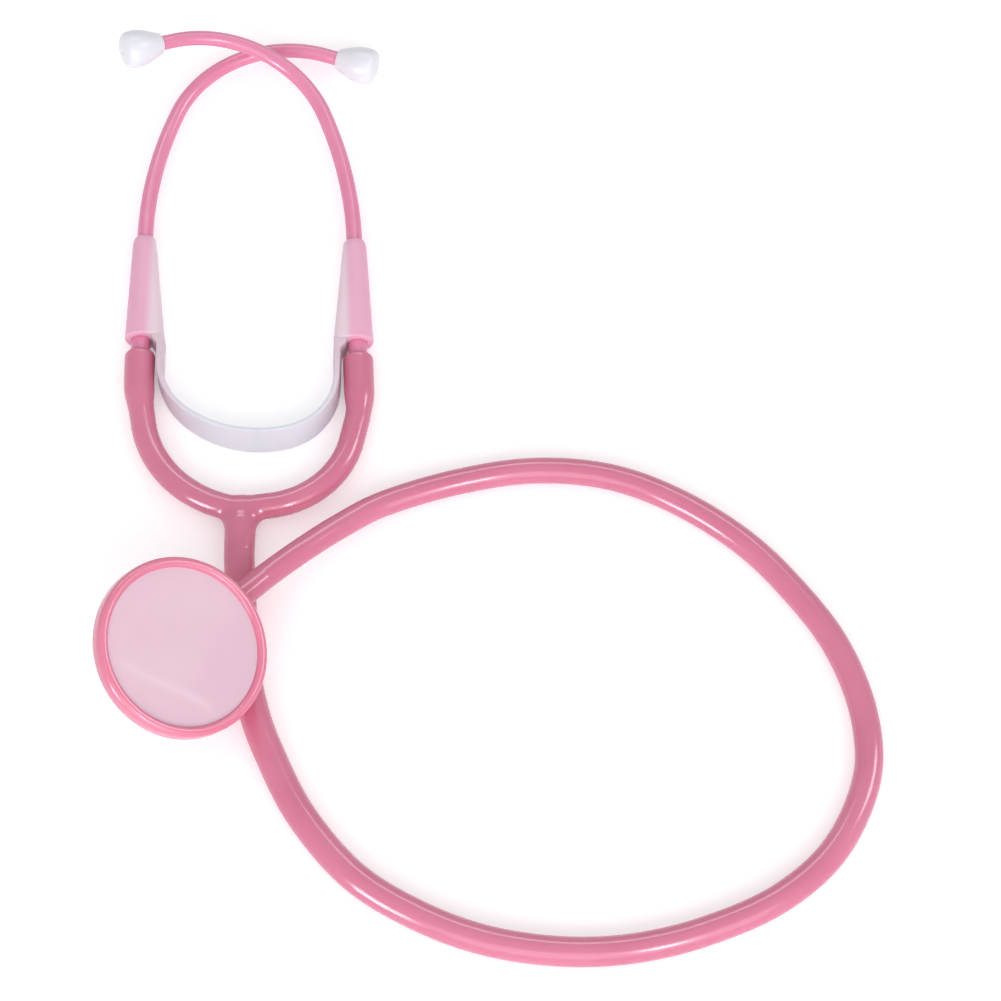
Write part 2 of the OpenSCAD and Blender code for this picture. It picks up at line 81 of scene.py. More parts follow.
# %% [markdown]
# Every round piece here is a turned outline: a list of points, each a distance along the piece
# and a radius. On a straight line that gives a lathe shape; carried along a bent line it gives a
# hose or an ear tube. A curve with a bevel could make the plain stretches, but not the swellings,
# rounded mouths and bores, so one helper with numpy serves nearly the whole toy.

# %% An outline carried along a line
AROUND = 48
UP = np.array([0, 0, 1.0])


def unit(v):
    """A vector, or each of many, divided by its own length."""
    return v / np.linalg.norm(v, axis=-1, keepdims=True)


def reach_of(line):
    """Distance along a line at each of its points: the running sum of its steps."""
    return np.concatenate([[0], np.cumsum(np.linalg.norm(np.diff(line, axis=0), axis=1))])


def read_off(values, reach, s):
    """Values known along a line, read off at the distances s, each column by itself."""
    return np.stack([np.interp(s, reach, column) for column in values.T], axis=1)


def carried(line, outline):
    """A turned outline carried along a line: each outline point, a distance s and a radius r,
    becomes a ring of radius r square to the line at s. Returns the points, and the same points
    as they would lie if the line were straight."""
    reach = reach_of(line)
    s, r = outline.T
    centre = read_off(line, reach, s)
    ahead = unit(read_off(np.gradient(line, reach, axis=0), reach, s))
    across = unit(np.cross(ahead, UP))
    rising = np.cross(across, ahead)
    a = np.linspace(0, 2 * np.pi, AROUND, endpoint=False)[None, :, None]
    s, r = s[:, None, None], r[:, None, None]
    points = centre[:, None] + r * (np.cos(a) * across[:, None] + np.sin(a) * rising[:, None])
    straight = np.concatenate([r * np.cos(a), r * np.sin(a), s + 0 * a], axis=2)
    return points, straight


print("rings of", AROUND, "points")

# %% [markdown]
# A skin is the mesh over such a grid of points. Points that fall together, as where an outline
# meets its axis, become one, so that every pole is closed. A mirrored grid would be inside out,
# so the faces are turned outwards afterwards. Shading is smooth except over sharp edges. Faces
# could also be bridged ring by ring; whole arrays are quicker and leave none out. Nearly every
# skin then rides on a body, stands for one solid and takes its finish from one slot.

# %% Skin of a grid
SHARP = np.radians(38)
SAME_PLACE = 1e-7


def skin(name, points, straight=None, loop=False):
    """Quads over a grid of points in millimetres. Its columns close into rings, and its rows too
    where the outline is a loop. The straightened place of each point is kept as the attribute
    lay, so that a pattern can follow the piece round its bends."""
    rows, columns = points.shape[:2]
    index = np.arange(rows * columns).reshape(rows, columns)
    index = np.hstack([index, index[:, :1]])
    index = np.vstack([index, index[:1]]) if loop else index
    quads = np.stack([index[:-1, :-1], index[1:, :-1], index[1:, 1:], index[:-1, 1:]], axis=-1)
    mesh = bpy.data.meshes.new(name)
    mesh.from_pydata((points.reshape(-1, 3) * MM).tolist(), [], quads.reshape(-1, 4).tolist())
    lay = mesh.attributes.new("lay", "FLOAT_VECTOR", "POINT")
    place = points if straight is None else straight
    lay.data.foreach_set("vector", (place * MM).astype(np.float32).ravel())
    shell = bmesh.new()
    shell.from_mesh(mesh)
    bmesh.ops.remove_doubles(shell, verts=shell.verts, dist=SAME_PLACE)
    bmesh.ops.recalc_face_normals(shell, faces=shell.faces)
    shell.to_mesh(mesh)
    shell.free()
    mesh.polygons.foreach_set("use_smooth", np.ones(len(mesh.polygons), bool))
    mesh.set_sharp_from_angle(angle=SHARP)
    piece = bpy.data.objects.new(name, mesh)
    scene.collection.objects.link(piece)
    print(name, len(mesh.polygons), "faces")
    return piece


def dress(piece, body, node):
    """A piece that moves with one body and stands for one solid of the frame."""
    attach(piece, body)
    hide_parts(node)


print("edges sharper than", round(np.degrees(SHARP)), "degrees stay sharp")

# %% [markdown]
# The long tube is soft PVC, drawn as one hose and laid in a wide loop from the stem of the Y
# round to the chest piece. It lies on the table all the way, and only its last stretch rises to
# the chest piece, which leans on it. Its middle line is a smooth curve through the points of the
# CAD route, so the cord is exactly where the solid is. A curve object could be the hose as well,
# but a mesh keeps the straightened place of each point, which the finish needs.

# %% Route of the long tube
JOIN = np.array([0.3, -38.9, 4.7])
STEM_LENGTH = 14
CHEST = np.array([-16.2, -89.8, 18.4])
CHEST_DIP, CHEST_HEADING, CHEST_ROLL = np.radians([12, 48, 28.5])
HOSE_SOCKET = (23.2, 36.2)
# x and y from the middle of the Y in metres, and the height of the tube's underside
HOSE_ROUTE = np.array([
    [0.001, -0.0285, 0.0001], [0.002, -0.0435, 0], [0.005, -0.0595, 0], [0.010, -0.0735, 0],
    [0.019, -0.0915, 0], [0.033, -0.1085, 0], [0.050, -0.1195, 0], [0.068, -0.1265, 0],
    [0.088, -0.1295, 0], [0.107, -0.1285, 0], [0.126, -0.1235, 0], [0.145, -0.1145, 0],
    [0.160, -0.1005, 0], [0.169, -0.0805, 0], [0.169, -0.0615, 0], [0.163, -0.0425, 0],
    [0.153, -0.0265, 0], [0.139, -0.0105, 0], [0.121, 0.0025, 0], [0.102, 0.0105, 0],
    [0.081, 0.0125, 0], [0.060, 0.009, 0.0001], [0.040, 0.002, 0.0008], [0.028, -0.006, 0.0028],
    [0.017, -0.0155, 0.0056],
]) / MM

chest_ahead = np.array([
    np.cos(CHEST_DIP) * np.cos(CHEST_HEADING),
    np.cos(CHEST_DIP) * np.sin(CHEST_HEADING),
    -np.sin(CHEST_DIP),
])
hose_from = JOIN - [0, STEM_LENGTH, 0]
hose_to = CHEST + HOSE_SOCKET[1] * chest_ahead
print("hose from", hose_from.round(1).tolist(), "to", hose_to.round(1).tolist())

# %% [markdown]
# Through the points goes a chain of cubics, which is what a springy hose comes close to: no kinks,
# and no bend that wanders far from the points. One more point before each end makes the hose
# leave the stem and meet the chest piece straight. It narrows evenly from one end to the other.

# %% Long tube
HOSE_START_R = 4.25
HOSE_END_R = 3.5
HOSE_LEAD = 12
HOSE_STEPS = 10


def curve_through(knots, steps):
    """A smooth curve through every knot but the first and last: between two knots it is the cubic
    whose slope at each is half the way from the knot before it to the knot after it."""
    a, b, c, d = (knots[i : len(knots) - 3 + i, None] for i in range(4))
    t = np.linspace(0, 1, steps, endpoint=False)[None, :, None]
    bend = (2 * a - 5 * b + 4 * c - d) * t**2 + (3 * b - a - 3 * c + d) * t**3
    curve = 2 * b + (c - a) * t + bend
    return np.vstack([(0.5 * curve).reshape(-1, 3), knots[-2:-1]])


share = np.arange(1, len(HOSE_ROUTE) + 1) / (len(HOSE_ROUTE) + 1)
radius_there = HOSE_START_R + (HOSE_END_R - HOSE_START_R) * share
laid = HOSE_ROUTE + np.array([JOIN[0], JOIN[1], 0]) + radius_there[:, None] * UP
knots = np.vstack([
    hose_from + [0, HOSE_LEAD, 0], hose_from, laid, hose_to, hose_to - HOSE_LEAD * chest_ahead
])
hose_line = curve_through(knots, HOSE_STEPS)
hose_reach = reach_of(hose_line)
hose_radius = np.linspace(HOSE_START_R, HOSE_END_R, len(hose_line))
hose_outline = np.vstack([
    [0, 0], np.stack([hose_reach, hose_radius], axis=1), [hose_reach[-1], 0]
])
long_tube = skin("long_tube", *carried(hose_line, hose_outline))
dress(long_tube, "tubing", "main_tube")

# %% [markdown]
# The long tube is seen from end to end, so its length is the length of this line. Its
# thickness is given as the mean of its two ends, and its far end goes back into the toy.

# %% Length of the long tube
print("hose length", round(hose_reach[-1], 1), "mm")

# %% [markdown]
# The hose ends in a straight socket pushed over the spigot of the chest piece, with a softly
# rounded lip. Its bore could be cut with a Boolean, which leaves seams to clean. Here it is a loop
# outline: out along the outer wall, over the lip and back down the bore.

# %% Hose socket at the chest piece
SPIGOT_BORE_R = 2.38
SOCKET_BORE_DEPTH = 11.0
AIRWAY_R = 0.6
SOCKET_EASES = [0.3, 0.7, 0, 0, 0, 0.2]


def eased(corners, radius, steps=7):
    """A closed outline with eased corners: a quadratic curve runs from one point before each
    corner to one after it, both at that corner's own distance."""
    corners = np.array(corners, float)
    radius = np.array(radius, float)[:, None]
    start = (corners + radius * unit(np.roll(corners, 1, 0) - corners))[:, None]
    end = (corners + radius * unit(np.roll(corners, -1, 0) - corners))[:, None]
    u = np.linspace(0, 1, steps)[None, :, None]
    curve = (1 - u) ** 2 * start + 2 * u * (1 - u) * corners[:, None] + u**2 * end
    return curve.reshape(-1, 2)


def straight_line(start, end):
    """Points on the straight from start to end, about a millimetre apart."""
    count = round(np.linalg.norm(end - start)) + 2
    return start + np.linspace(0, 1, count)[:, None] * (end - start)


socket_length = HOSE_SOCKET[1] - HOSE_SOCKET[0]
socket_outline = eased([
    [0, SPIGOT_BORE_R], [0, HOSE_END_R], [socket_length, HOSE_END_R], [socket_length, AIRWAY_R],
    [SOCKET_BORE_DEPTH, AIRWAY_R], [SOCKET_BORE_DEPTH, SPIGOT_BORE_R],
], SOCKET_EASES)
socket_line = straight_line(CHEST + HOSE_SOCKET[0] * chest_ahead, hose_to)
tube_end = skin("tube_end", *carried(socket_line, socket_outline), loop=True)
dress(tube_end, "tubing", "hose_socket")

# %% [markdown]
# The two sides of the headset are alike but not equal: each arm of the Y rises from the middle,
# runs straight, and bends round to a socket for its ear tube. A side is worked out in its own
# flat frame, outwards and upwards from the middle of the Y. A curve could be pulled into shape by
# its handles, but lengths and angles can be measured, so the line is told as a bender of rods
# would tell it: so far straight, then so many degrees over such a length.

# %% Bent lines
FINE = 0.1


def steps_in(length):
    """How many fine steps a length holds."""
    return round(length / FINE)


def bent_line(stretches, heading=0.0):
    """A flat line from its stretches, each a length and a turn in degrees. The heading changes
    evenly over a stretch, and the points are the running sum of short steps along the heading."""
    lengths, turns = np.array(stretches, float).T
    knots = np.concatenate([[0], np.cumsum(lengths)])
    angles = np.radians(heading + np.concatenate([[0], np.cumsum(turns)]))
    s = np.linspace(0, knots[-1], steps_in(knots[-1]) + 1)
    a = np.interp((s[1:] + s[:-1]) / 2, knots, angles)
    steps = np.diff(s)[:, None] * np.stack([np.cos(a), np.sin(a), 0 * a], axis=1)
    return np.vstack([np.zeros((1, 3)), np.cumsum(steps, axis=0)])


print("a point every", FINE, "mm of a bent line")

# %% [markdown]
# A branch has a plain line of one bend, which sets where its socket stands. The soft tube itself
# hangs from there in two bends, a tight one low down and an easy one higher up. Their radii
# aren't typed: they are the two that make the line meet the mouth, from two equations.

# %% Line of a branch
BRANCH_R = 15
BRANCH_LENGTH = 9
# out is the side's sign; bend is a radius; run, end, slope and tail are straights; the rest are
# angles: of the rise from the middle, the sleeve's lean, the ear tube's turn and the slanted part
SIDES = {
    "left": dict(out=-1, rise=17, run=0.9, bend=35, end=15.6, lean=-0.5, turn=0.6,
                 slant=80, slope=6, tail=7),
    "right": dict(out=1, rise=8, run=6.2, bend=28, end=18.6, lean=2.7, turn=16,
                  slant=78, slope=6, tail=13),
}


def arc_step(start, end):
    """How far an arc of radius one carries a line whose heading turns from start to end."""
    return np.array([np.sin(end) - np.sin(start), np.cos(start) - np.cos(end)])


def branch_line(side):
    """Line of a branch from the middle of the Y to the mouth of its socket. A plain rise, run and
    bend give the foot and the mouth; between them the soft tube hangs in a tighter bend, a slanted
    straight and an easy bend. Those two radii are the ones that meet the mouth."""
    g = SIDES[side]
    rest = 90 + g["lean"] - g["rise"]
    plain = bent_line([
        (BRANCH_R * np.radians(g["rise"]), g["rise"]), (g["run"], 0),
        (g["bend"] * np.radians(rest), rest), (g["end"], 0),
    ])
    foot = plain[: steps_in(BRANCH_LENGTH) + 1]
    start = np.arctan2(*(foot[-1] - foot[-2])[1::-1])
    slant, last = np.radians([g["slant"], 90 + g["lean"]])
    straights = g["slope"] * np.array([np.cos(slant), np.sin(slant)])
    straights = straights + g["tail"] * np.array([np.cos(last), np.sin(last)])
    way = (plain[-1] - foot[-1])[:2] - straights
    arcs = np.stack([arc_step(start, slant), arc_step(slant, last)], axis=1)
    tight, easy = np.linalg.solve(arcs, way)
    hung = bent_line([
        (tight * (slant - start), np.degrees(slant - start)), (g["slope"], 0),
        (easy * (last - slant), np.degrees(last - slant)), (g["tail"], 0),
    ], heading=np.degrees(start))
    return np.vstack([foot, hung[1:] + foot[-1]])


print({side: round(reach_of(branch_line(side))[-1], 1) for side in SIDES}, "mm of branch")

# %% [markdown]
# Two small helpers carry points from a side's flat frame into the part. The left frame is the
# right one mirrored, but a Mirror modifier wouldn't do, because the two sides have sizes of their
# own. The second helper starts at the mouth of an arm, where the ear tube, its tip and its sleeve
# all have their places.

# %% Frames of the two sides
def placed(side, points):
    """Points of a side's frame in the frame of the part: mirrored for the left, then moved."""
    return points * [SIDES[side]["out"], 1, 1] + JOIN


def at_mouth(side, points):
    """Points of the frame at the mouth of an arm, with Y along the ear tube, placed in the part:
    turned by the side's lean and moved to the mouth."""
    lean = np.radians(SIDES[side]["lean"])
    x, y, z = np.moveaxis(points, -1, 0)
    turned = np.stack([
        x * np.cos(lean) - y * np.sin(lean), x * np.sin(lean) + y * np.cos(lean), z
    ], axis=-1)
    return placed(side, turned + branch_line(side)[-1])


print({side: at_mouth(side, np.zeros(3)).round(2).tolist() for side in SIDES})

# %% [markdown]
# An arm is moulded in the same soft PVC: a tube that swells into a socket with a rounded mouth.
# The swelling eases in over a few millimetres.

# %% Arms of the Y
ARM_R = 3.6
SOCKET_R = 4.3
SOCKET_LENGTH = 11.4
SWELL_LENGTH = 7.5
SOCKET_BORE_R = 2.76
SOCKET_DEPTH = 9.3
ARM_BORE_R = 1.9
MOUTH_ROUND = 1.5


def smooth(t):
    """Nought below 0, one above 1, and an even S between them."""
    t = np.clip(t, 0, 1)
    return t * t * (3 - 2 * t)


def filled(outline, step):
    """The same outline with points no further apart than a step, on the straight between its own."""
    reach = reach_of(outline)
    extra = np.linspace(0, reach[-1], int(reach[-1] / step) + 2)
    return read_off(outline, reach, np.unique(np.concatenate([reach, extra]).round(6)))


def arm_outline(length):
    """Loop outline of an arm: the outer wall with its swelling, the rounded mouth, and the bore."""
    swell = length - SOCKET_LENGTH
    s = np.linspace(0, length - MOUTH_ROUND, 90)
    wall = ARM_R + (SOCKET_R - ARM_R) * smooth((s - swell + SWELL_LENGTH) / SWELL_LENGTH)
    a = np.linspace(0, np.pi / 2, 9)[1:]
    mouth = np.stack([
        length - MOUTH_ROUND + MOUTH_ROUND * np.sin(a), SOCKET_R - MOUTH_ROUND * (1 - np.cos(a))
    ], axis=1)
    bore = [[length, SOCKET_BORE_R], [length - SOCKET_DEPTH, SOCKET_BORE_R],
            [length - SOCKET_DEPTH, ARM_BORE_R], [0, ARM_BORE_R]]
    return filled(np.vstack([np.stack([s, wall], axis=1), mouth, bore]), 1.0)


for side in SIDES:
    line = branch_line(side)[steps_in(BRANCH_LENGTH):]
    points, straight = carried(line, arm_outline(reach_of(line)[-1]))
    arm = skin(f"{side}_arm_tube", placed(side, points), straight, loop=True)
    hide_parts(f"{side}_arm")
    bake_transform(arm)

# %% [markdown]
# The middle of the Y is where two branches and the stem flow into each other with soft fillets.
# Joining three tubes and bevelling the seams would leave creases, so the surface is taken as the
# place where a blended distance to the tubes is nought. The blend widens where the tubes meet
# square to each other, as in the fillets, and narrows where they lie side by side, as on top.

# %% Distance to the middle of the Y
STEM_ROOT_R = 3.4
STEM_R = 4.3
STEM_TAPER = 4.5
FILLET = 5.0
LEAST_BLEND = 0.32
TUCK = 0.04
TUCK_FROM, TUCK_OVER = 0.8, 0.5
DRAW_FROM, DRAW_OVER = 3, 2.5
TINY = 1e-9


def nearest_branch(points):
    """Distance to the skin of the two branches, and the direction away from their line: the
    least distance to a point of the line, less the branch's radius there."""
    line = np.vstack([
        branch_line(side)[: steps_in(BRANCH_LENGTH) + 1 : 2] * [SIDES[side]["out"], 1, 1]
        for side in SIDES
    ])
    beyond = np.abs(line[:, 0]) - BRANCH_LENGTH
    radius = ARM_R - TUCK * smooth((beyond + TUCK_FROM) / TUCK_OVER)
    away = points[:, None] - line
    gap = np.linalg.norm(away, axis=2) - radius
    near = gap.argmin(axis=1)
    row = np.arange(len(points))
    return gap[row, near], unit(away[row, near] + TINY)


def nearest_stem(points):
    """Distance to the skin of the stem and the direction away from its line. The stem widens
    below its root, and draws in a little where it enters the long tube."""
    down = np.clip(-points[:, 1], 0, STEM_LENGTH)
    radius = STEM_ROOT_R + (STEM_R - STEM_ROOT_R) * np.clip(down / STEM_TAPER, 0, 1)
    drawn_in = smooth((down - STEM_LENGTH + DRAW_FROM) / DRAW_OVER)
    radius = radius - (STEM_R - HOSE_START_R + TUCK) * drawn_in
    away = points + down[:, None] * [0, 1, 0]
    return np.linalg.norm(away, axis=1) - radius, unit(away + TINY)


def blended_gap(points):
    """The lesser of the two distances, taken lower near their meeting by a quarter of the blend
    times the square of how far they are into it."""
    branch, branch_away = nearest_branch(points)
    stem, stem_away = nearest_stem(points)
    width = FILLET * np.clip(1 - (branch_away * stem_away).sum(axis=1), LEAST_BLEND, 1)
    into = np.clip(1 - np.abs(branch - stem) / width, 0, 1)
    return np.minimum(branch, stem) - into**2 * width / 4


print("distance at the middle", blended_gap(np.zeros((1, 3))).round(2).tolist())

# %% [markdown]
# Seen from its own middle, the blob has one distance to its surface in each direction, so it is a
# globe of rays cut to length. The length is found by halving: all rays at once are tried half
# way between a point inside and a point outside, and that again and again. A voxel remesh could
# find this surface too, but in small steps that show in the gloss.

# %% Middle of the Y
LATITUDES, LONGITUDES = 91, 200
FARTHEST = 30.0
HALVINGS = 22

latitude = np.linspace(-np.pi / 2, np.pi / 2, LATITUDES)[:, None]
longitude = np.linspace(0, 2 * np.pi, LONGITUDES, endpoint=False)[None, :]
rays = np.stack([
    np.cos(latitude) * np.cos(longitude), np.cos(latitude) * np.sin(longitude),
    np.sin(latitude) + 0 * longitude,
], axis=-1)
inside, outside = np.zeros(rays.shape[:2]), np.full(rays.shape[:2], FARTHEST)
for _ in range(HALVINGS):
    middle = (inside + outside) / 2
    within = blended_gap((rays * middle[..., None]).reshape(-1, 3)).reshape(middle.shape) < 0
    inside, outside = np.where(within, middle, inside), np.where(within, outside, middle)
y_middle = skin("y_middle", rays * inside[..., None] + JOIN)
dress(y_middle, "tubing", "y_junction")

# %% [markdown]
# The ear tubes are stiff plastic, bent twice: a long easy bend and then a tight one that carries
# the tips across to each other. A tube stands in its arm's socket, passes through the sleeve of
# the spring band, and can be turned there, so it rides on a body of its own. A bevelled curve
# could make it, with its taper as a second curve; the same two helpers as before do both.

# %% Ear tubes
SLEEVE_GAP = 4.2
SLEEVE_LENGTH = 33.5
EAR_LOW_R = 2.7
EAR_TOP_R = 2.3
EAR_END_R = 2.1
EAR_FOOT = 9
EAR_STRAIGHT = 0.5
EAR_LONG = (120, 21)
EAR_TIGHT = {"left": (34, 88), "right": (34, 91)}
EAR_END = 4
TIP_DEPTH = 6


def turned_about_sleeve(side, points):
    """Points turned about the Y axis of the sleeve by the ear tube's own turn."""
    turn = np.radians(SIDES[side]["turn"])
    x, y, z = np.moveaxis(points, -1, 0)
    return np.stack([
        x * np.cos(turn) + z * np.sin(turn), y, z * np.cos(turn) - x * np.sin(turn)
    ], axis=-1)


def ear_course(side):
    """Middle line of an ear tube from its foot: straight through the sleeve, an easy bend, a
    tight bend, and a straight end inside the tip."""
    long_r, long_angle = EAR_LONG
    tight_r, tight_angle = EAR_TIGHT[side]
    return bent_line([
        (SLEEVE_GAP + EAR_FOOT + SLEEVE_LENGTH + EAR_STRAIGHT, 0),
        (long_r * np.radians(long_angle), long_angle),
        (tight_r * np.radians(tight_angle), tight_angle),
        (EAR_END + TIP_DEPTH, 0),
    ], heading=90) - [0, EAR_FOOT, 0]


def ear_outline(length):
    """Outline of an ear tube: even in the socket, tapering in the sleeve and again to its end."""
    s = np.linspace(0, length, 240)
    sleeve_from = EAR_FOOT + SLEEVE_GAP
    radius = np.interp(
        s, [0, sleeve_from, sleeve_from + SLEEVE_LENGTH, length],
        [EAR_LOW_R, EAR_LOW_R, EAR_TOP_R, EAR_END_R],
    )
    return np.vstack([[0, 0], np.stack([s, radius], axis=1), [length, 0]])


ear_lines = {side: ear_course(side) for side in SIDES}
for side, line in ear_lines.items():
    points, straight = carried(line, ear_outline(reach_of(line)[-1]))
    tube = skin(f"{side}_bent_tube", at_mouth(side, turned_about_sleeve(side, points)), straight)
    dress(tube, f"{side}_ear", f"{side}_ear_tube")

# %% [markdown]
# The ear tips are soft white bells pushed over the ends of the ear tubes: a narrow neck, a flare,
# and a blunt rounded end with a small hole. The blunt end is part of a curve squarer than a
# circle, so that the bell looks cut off rather than pointed. Points placed by hand would do for
# the outline, but two formulas keep it free of flats.

# %% Ear tips
TIP_LENGTH = 12.1
TIP_R = 5.5
TIP_NECK_R = 3.0
TIP_NECK_EDGE = 0.4
EASE_SHARE = 0.3
TIP_FLARE = 1.2
TIP_CROWN = 3.6
TIP_SQUARE = 3.4
TIP_HOLE_R = 0.7
TIP_HOLE_LIP = 0.35
TIP_HOLE_DEPTH = 0.5


def tip_outline():
    """Outline of a tip from its neck to its end: an eased flare to the widest ring, a superellipse
    over the crown, and a small sunk hole in the middle."""
    u = np.linspace(0, 1, 22)[1:]
    widening = np.sin(u * np.pi / 2) ** TIP_FLARE
    flare = np.stack([
        u * (TIP_LENGTH - TIP_CROWN), TIP_NECK_R + (TIP_R - TIP_NECK_R) * widening
    ], axis=1)
    a = np.linspace(0, np.pi / 2, 26)[1:]
    crown = np.stack([
        TIP_LENGTH - TIP_CROWN + TIP_CROWN * np.sin(a) ** (2 / TIP_SQUARE),
        TIP_R * np.cos(a) ** (2 / TIP_SQUARE),
    ], axis=1)
    crown = crown[crown[:, 1] > TIP_HOLE_R + TIP_HOLE_LIP]
    b = np.linspace(0, np.pi / 2, 8)
    hole = np.stack([
        TIP_LENGTH - TIP_HOLE_DEPTH * np.sin(b),
        TIP_HOLE_R * np.cos(b) + TIP_HOLE_LIP * (1 - b / b[-1]),
    ], axis=1)
    ease = EASE_SHARE * TIP_NECK_EDGE
    neck = [[0, 0], [0, TIP_NECK_R - TIP_NECK_EDGE], [ease, TIP_NECK_R - ease],
            [TIP_NECK_EDGE, TIP_NECK_R]]
    return np.vstack([neck, flare, crown, hole])


for side, line in ear_lines.items():
    ahead = unit(line[-1] - line[-2])
    tip_line = line[-1] + np.linspace(-TIP_DEPTH, TIP_LENGTH, 40)[:, None] * ahead
    points, straight = carried(tip_line, tip_outline())
    tip = skin(f"{side}_white_tip", at_mouth(side, turned_about_sleeve(side, points)), straight)
    dress(tip, f"{side}_ear", f"{side}_ear_tip")

# %% [markdown]
# The spring band is one frosted moulding: two sleeves round the ear tubes and a strap between
# them. Each sleeve is a tapered tube with a rounded top and a fin on its inner side, which grows
# into the strap. A cone joined to a box by a Boolean would show a hard seam that the moulding
# doesn't have. Round the axis, the outline is instead the larger of a circle and a rounded box,
# with a soft change between them.

# %% Outline of a sleeve
SLEEVE_LOW_R = 4.5
SLEEVE_TOP_R = 3.5
SLEEVE_LIP_R = 2.75
SLEEVE_ROUND = 4
SLEEVE_EDGE = 0.45
FIN_REACH = 6.8
FIN_LOW_HALF = 4.7
FIN_TOP_HALF = 2.5
FIN_SQUARE = 5
FIN_BLEND = 14
FIN_ROOT = 3
FIN_FADE = 3
LEAST_INNER = 1e-6


def sleeve_wall(height, around):
    """Radius of a sleeve at a height and an angle from its outward side: a circle whose radius
    tapers, and on the inner half a box with rounded corners flows out of it: the two are added
    as high powers, so that the larger rules and no crease shows."""
    shoulder = SLEEVE_LENGTH - SLEEVE_ROUND
    up = np.clip(height / shoulder, 0, 1)
    over = np.clip((height - shoulder) / SLEEVE_ROUND, 0, 1)
    circle = SLEEVE_LOW_R + (SLEEVE_TOP_R - SLEEVE_LOW_R) * up
    circle = circle - (SLEEVE_TOP_R - SLEEVE_LIP_R) * (1 - np.sqrt(1 - over**2))
    reach = FIN_REACH + (SLEEVE_TOP_R - FIN_REACH) * up
    half = np.minimum(FIN_LOW_HALF + (FIN_TOP_HALF - FIN_LOW_HALF) * up, circle)
    inner = np.clip(-np.cos(around), LEAST_INNER, 1)
    powers = (inner / reach) ** FIN_SQUARE + np.abs(np.sin(around) / half) ** FIN_SQUARE
    inward = np.cos(around) < 0
    fin = np.where(inward, powers ** (-1 / FIN_SQUARE), 0) * (1 - smooth(over * FIN_FADE))
    grown = circle * (1 + (fin / circle) ** FIN_BLEND) ** (1 / FIN_BLEND)
    edge = SLEEVE_EDGE * (1 - np.sqrt(1 - np.clip(1 - height / SLEEVE_EDGE, 0, 1) ** 2))
    rooted = circle + (grown - circle) * smooth(-FIN_ROOT * np.cos(around))
    return np.where(inward, rooted, circle) - edge


print("sleeve at its foot, outwards and inwards:", sleeve_wall(1.0, np.array([0, np.pi])).round(2))

# %% [markdown]
# The heights lie close together where the wall curves, at the eased foot and the rounded top. The
# loop then goes back down the bore, which tapers with the ear tube in it.

# %% Sleeves of the spring band
SLEEVE_BORE = (2.76, 2.36)
BORE_ROWS = 12

around = np.linspace(0, 2 * np.pi, 2 * AROUND, endpoint=False)[None, :]
shoulder = SLEEVE_LENGTH - SLEEVE_ROUND
height = np.concatenate([
    SLEEVE_EDGE * np.linspace(0, 1, 6) ** 2, np.linspace(SLEEVE_EDGE, shoulder, 60)[1:],
    shoulder + SLEEVE_ROUND * np.sin(np.linspace(0, np.pi / 2, 12)[1:]),
])[:, None]
bore = np.linspace(SLEEVE_BORE[1], SLEEVE_BORE[0], BORE_ROWS)[:, None] + 0 * around
radius = np.vstack([sleeve_wall(height, around), bore])
level = np.vstack([height, np.linspace(SLEEVE_LENGTH, 0, BORE_ROWS)[:, None]]) + 0 * around
sleeve_points = np.stack([
    radius * np.cos(around), level + SLEEVE_GAP, radius * np.sin(around)
], axis=-1)
for side in SIDES:
    sleeve = skin(
        f"{side}_frosted_sleeve", at_mouth(side, sleeve_points), sleeve_points, loop=True
    )
    dress(sleeve, f"{side}_side", f"{side}_sleeve")

# %% [markdown]
# The strap is a flat ribbon that hangs in a U from sleeve to sleeve. The U isn't even: its lowest
# point lies off the middle, and one corner is tighter than the other. It is too stiff to hang as
# cloth does, so nothing is simulated: each half of its line is a wide bottom curve, a corner and
# a straight, and starts at the lowest point.

# %% Line of the strap
STRAP_RISE = 21.6
STRAP_FLAT = 3.5
STRAP_SHIFT = 3.5
STRAP_CORNER_R = {"left": 22, "right": 18}
STRAP_OFFSET = 5.8
STRAP_PARTING = 0.3
STRAP_TUCK = 0.8

inner = {
    side: SIDES[side]["out"] * (branch_line(side)[-1][0] - STRAP_OFFSET) for side in SIDES
}
strap_middle = (inner["left"] + inner["right"]) / 2
strap_half = (inner["right"] - inner["left"]) / 2
strap_bottom = strap_half + STRAP_SHIFT + STRAP_FLAT


def strap_line(side):
    """Half of the U from its lowest point, outwards as positive x: a wide bottom curve, a tighter
    corner, and a straight that tucks into the foot of the sleeve's fin."""
    g = SIDES[side]
    corner = STRAP_CORNER_R[side]
    sideways = strap_half - corner - g["out"] * STRAP_SHIFT
    angle = np.degrees(np.arcsin(sideways / (strap_bottom - corner)))
    corner_y = STRAP_RISE + strap_bottom - (strap_bottom - corner) * np.cos(np.radians(angle))
    foot = branch_line(side)[-1][1] + SLEEVE_GAP * np.cos(np.radians(g["lean"]))
    top = foot - STRAP_PARTING - FIN_REACH * np.sin(np.radians(max(0, g["lean"])))
    line = bent_line([
        (strap_bottom * np.radians(angle), angle),
        (corner * np.radians(90 - angle), 90 - angle), (top - corner_y + STRAP_TUCK, 0),
    ])
    return line + [0, STRAP_RISE, 0]


print("strap", round(2 * strap_half, 1), "mm across, bottom curve", round(strap_bottom, 1), "mm")
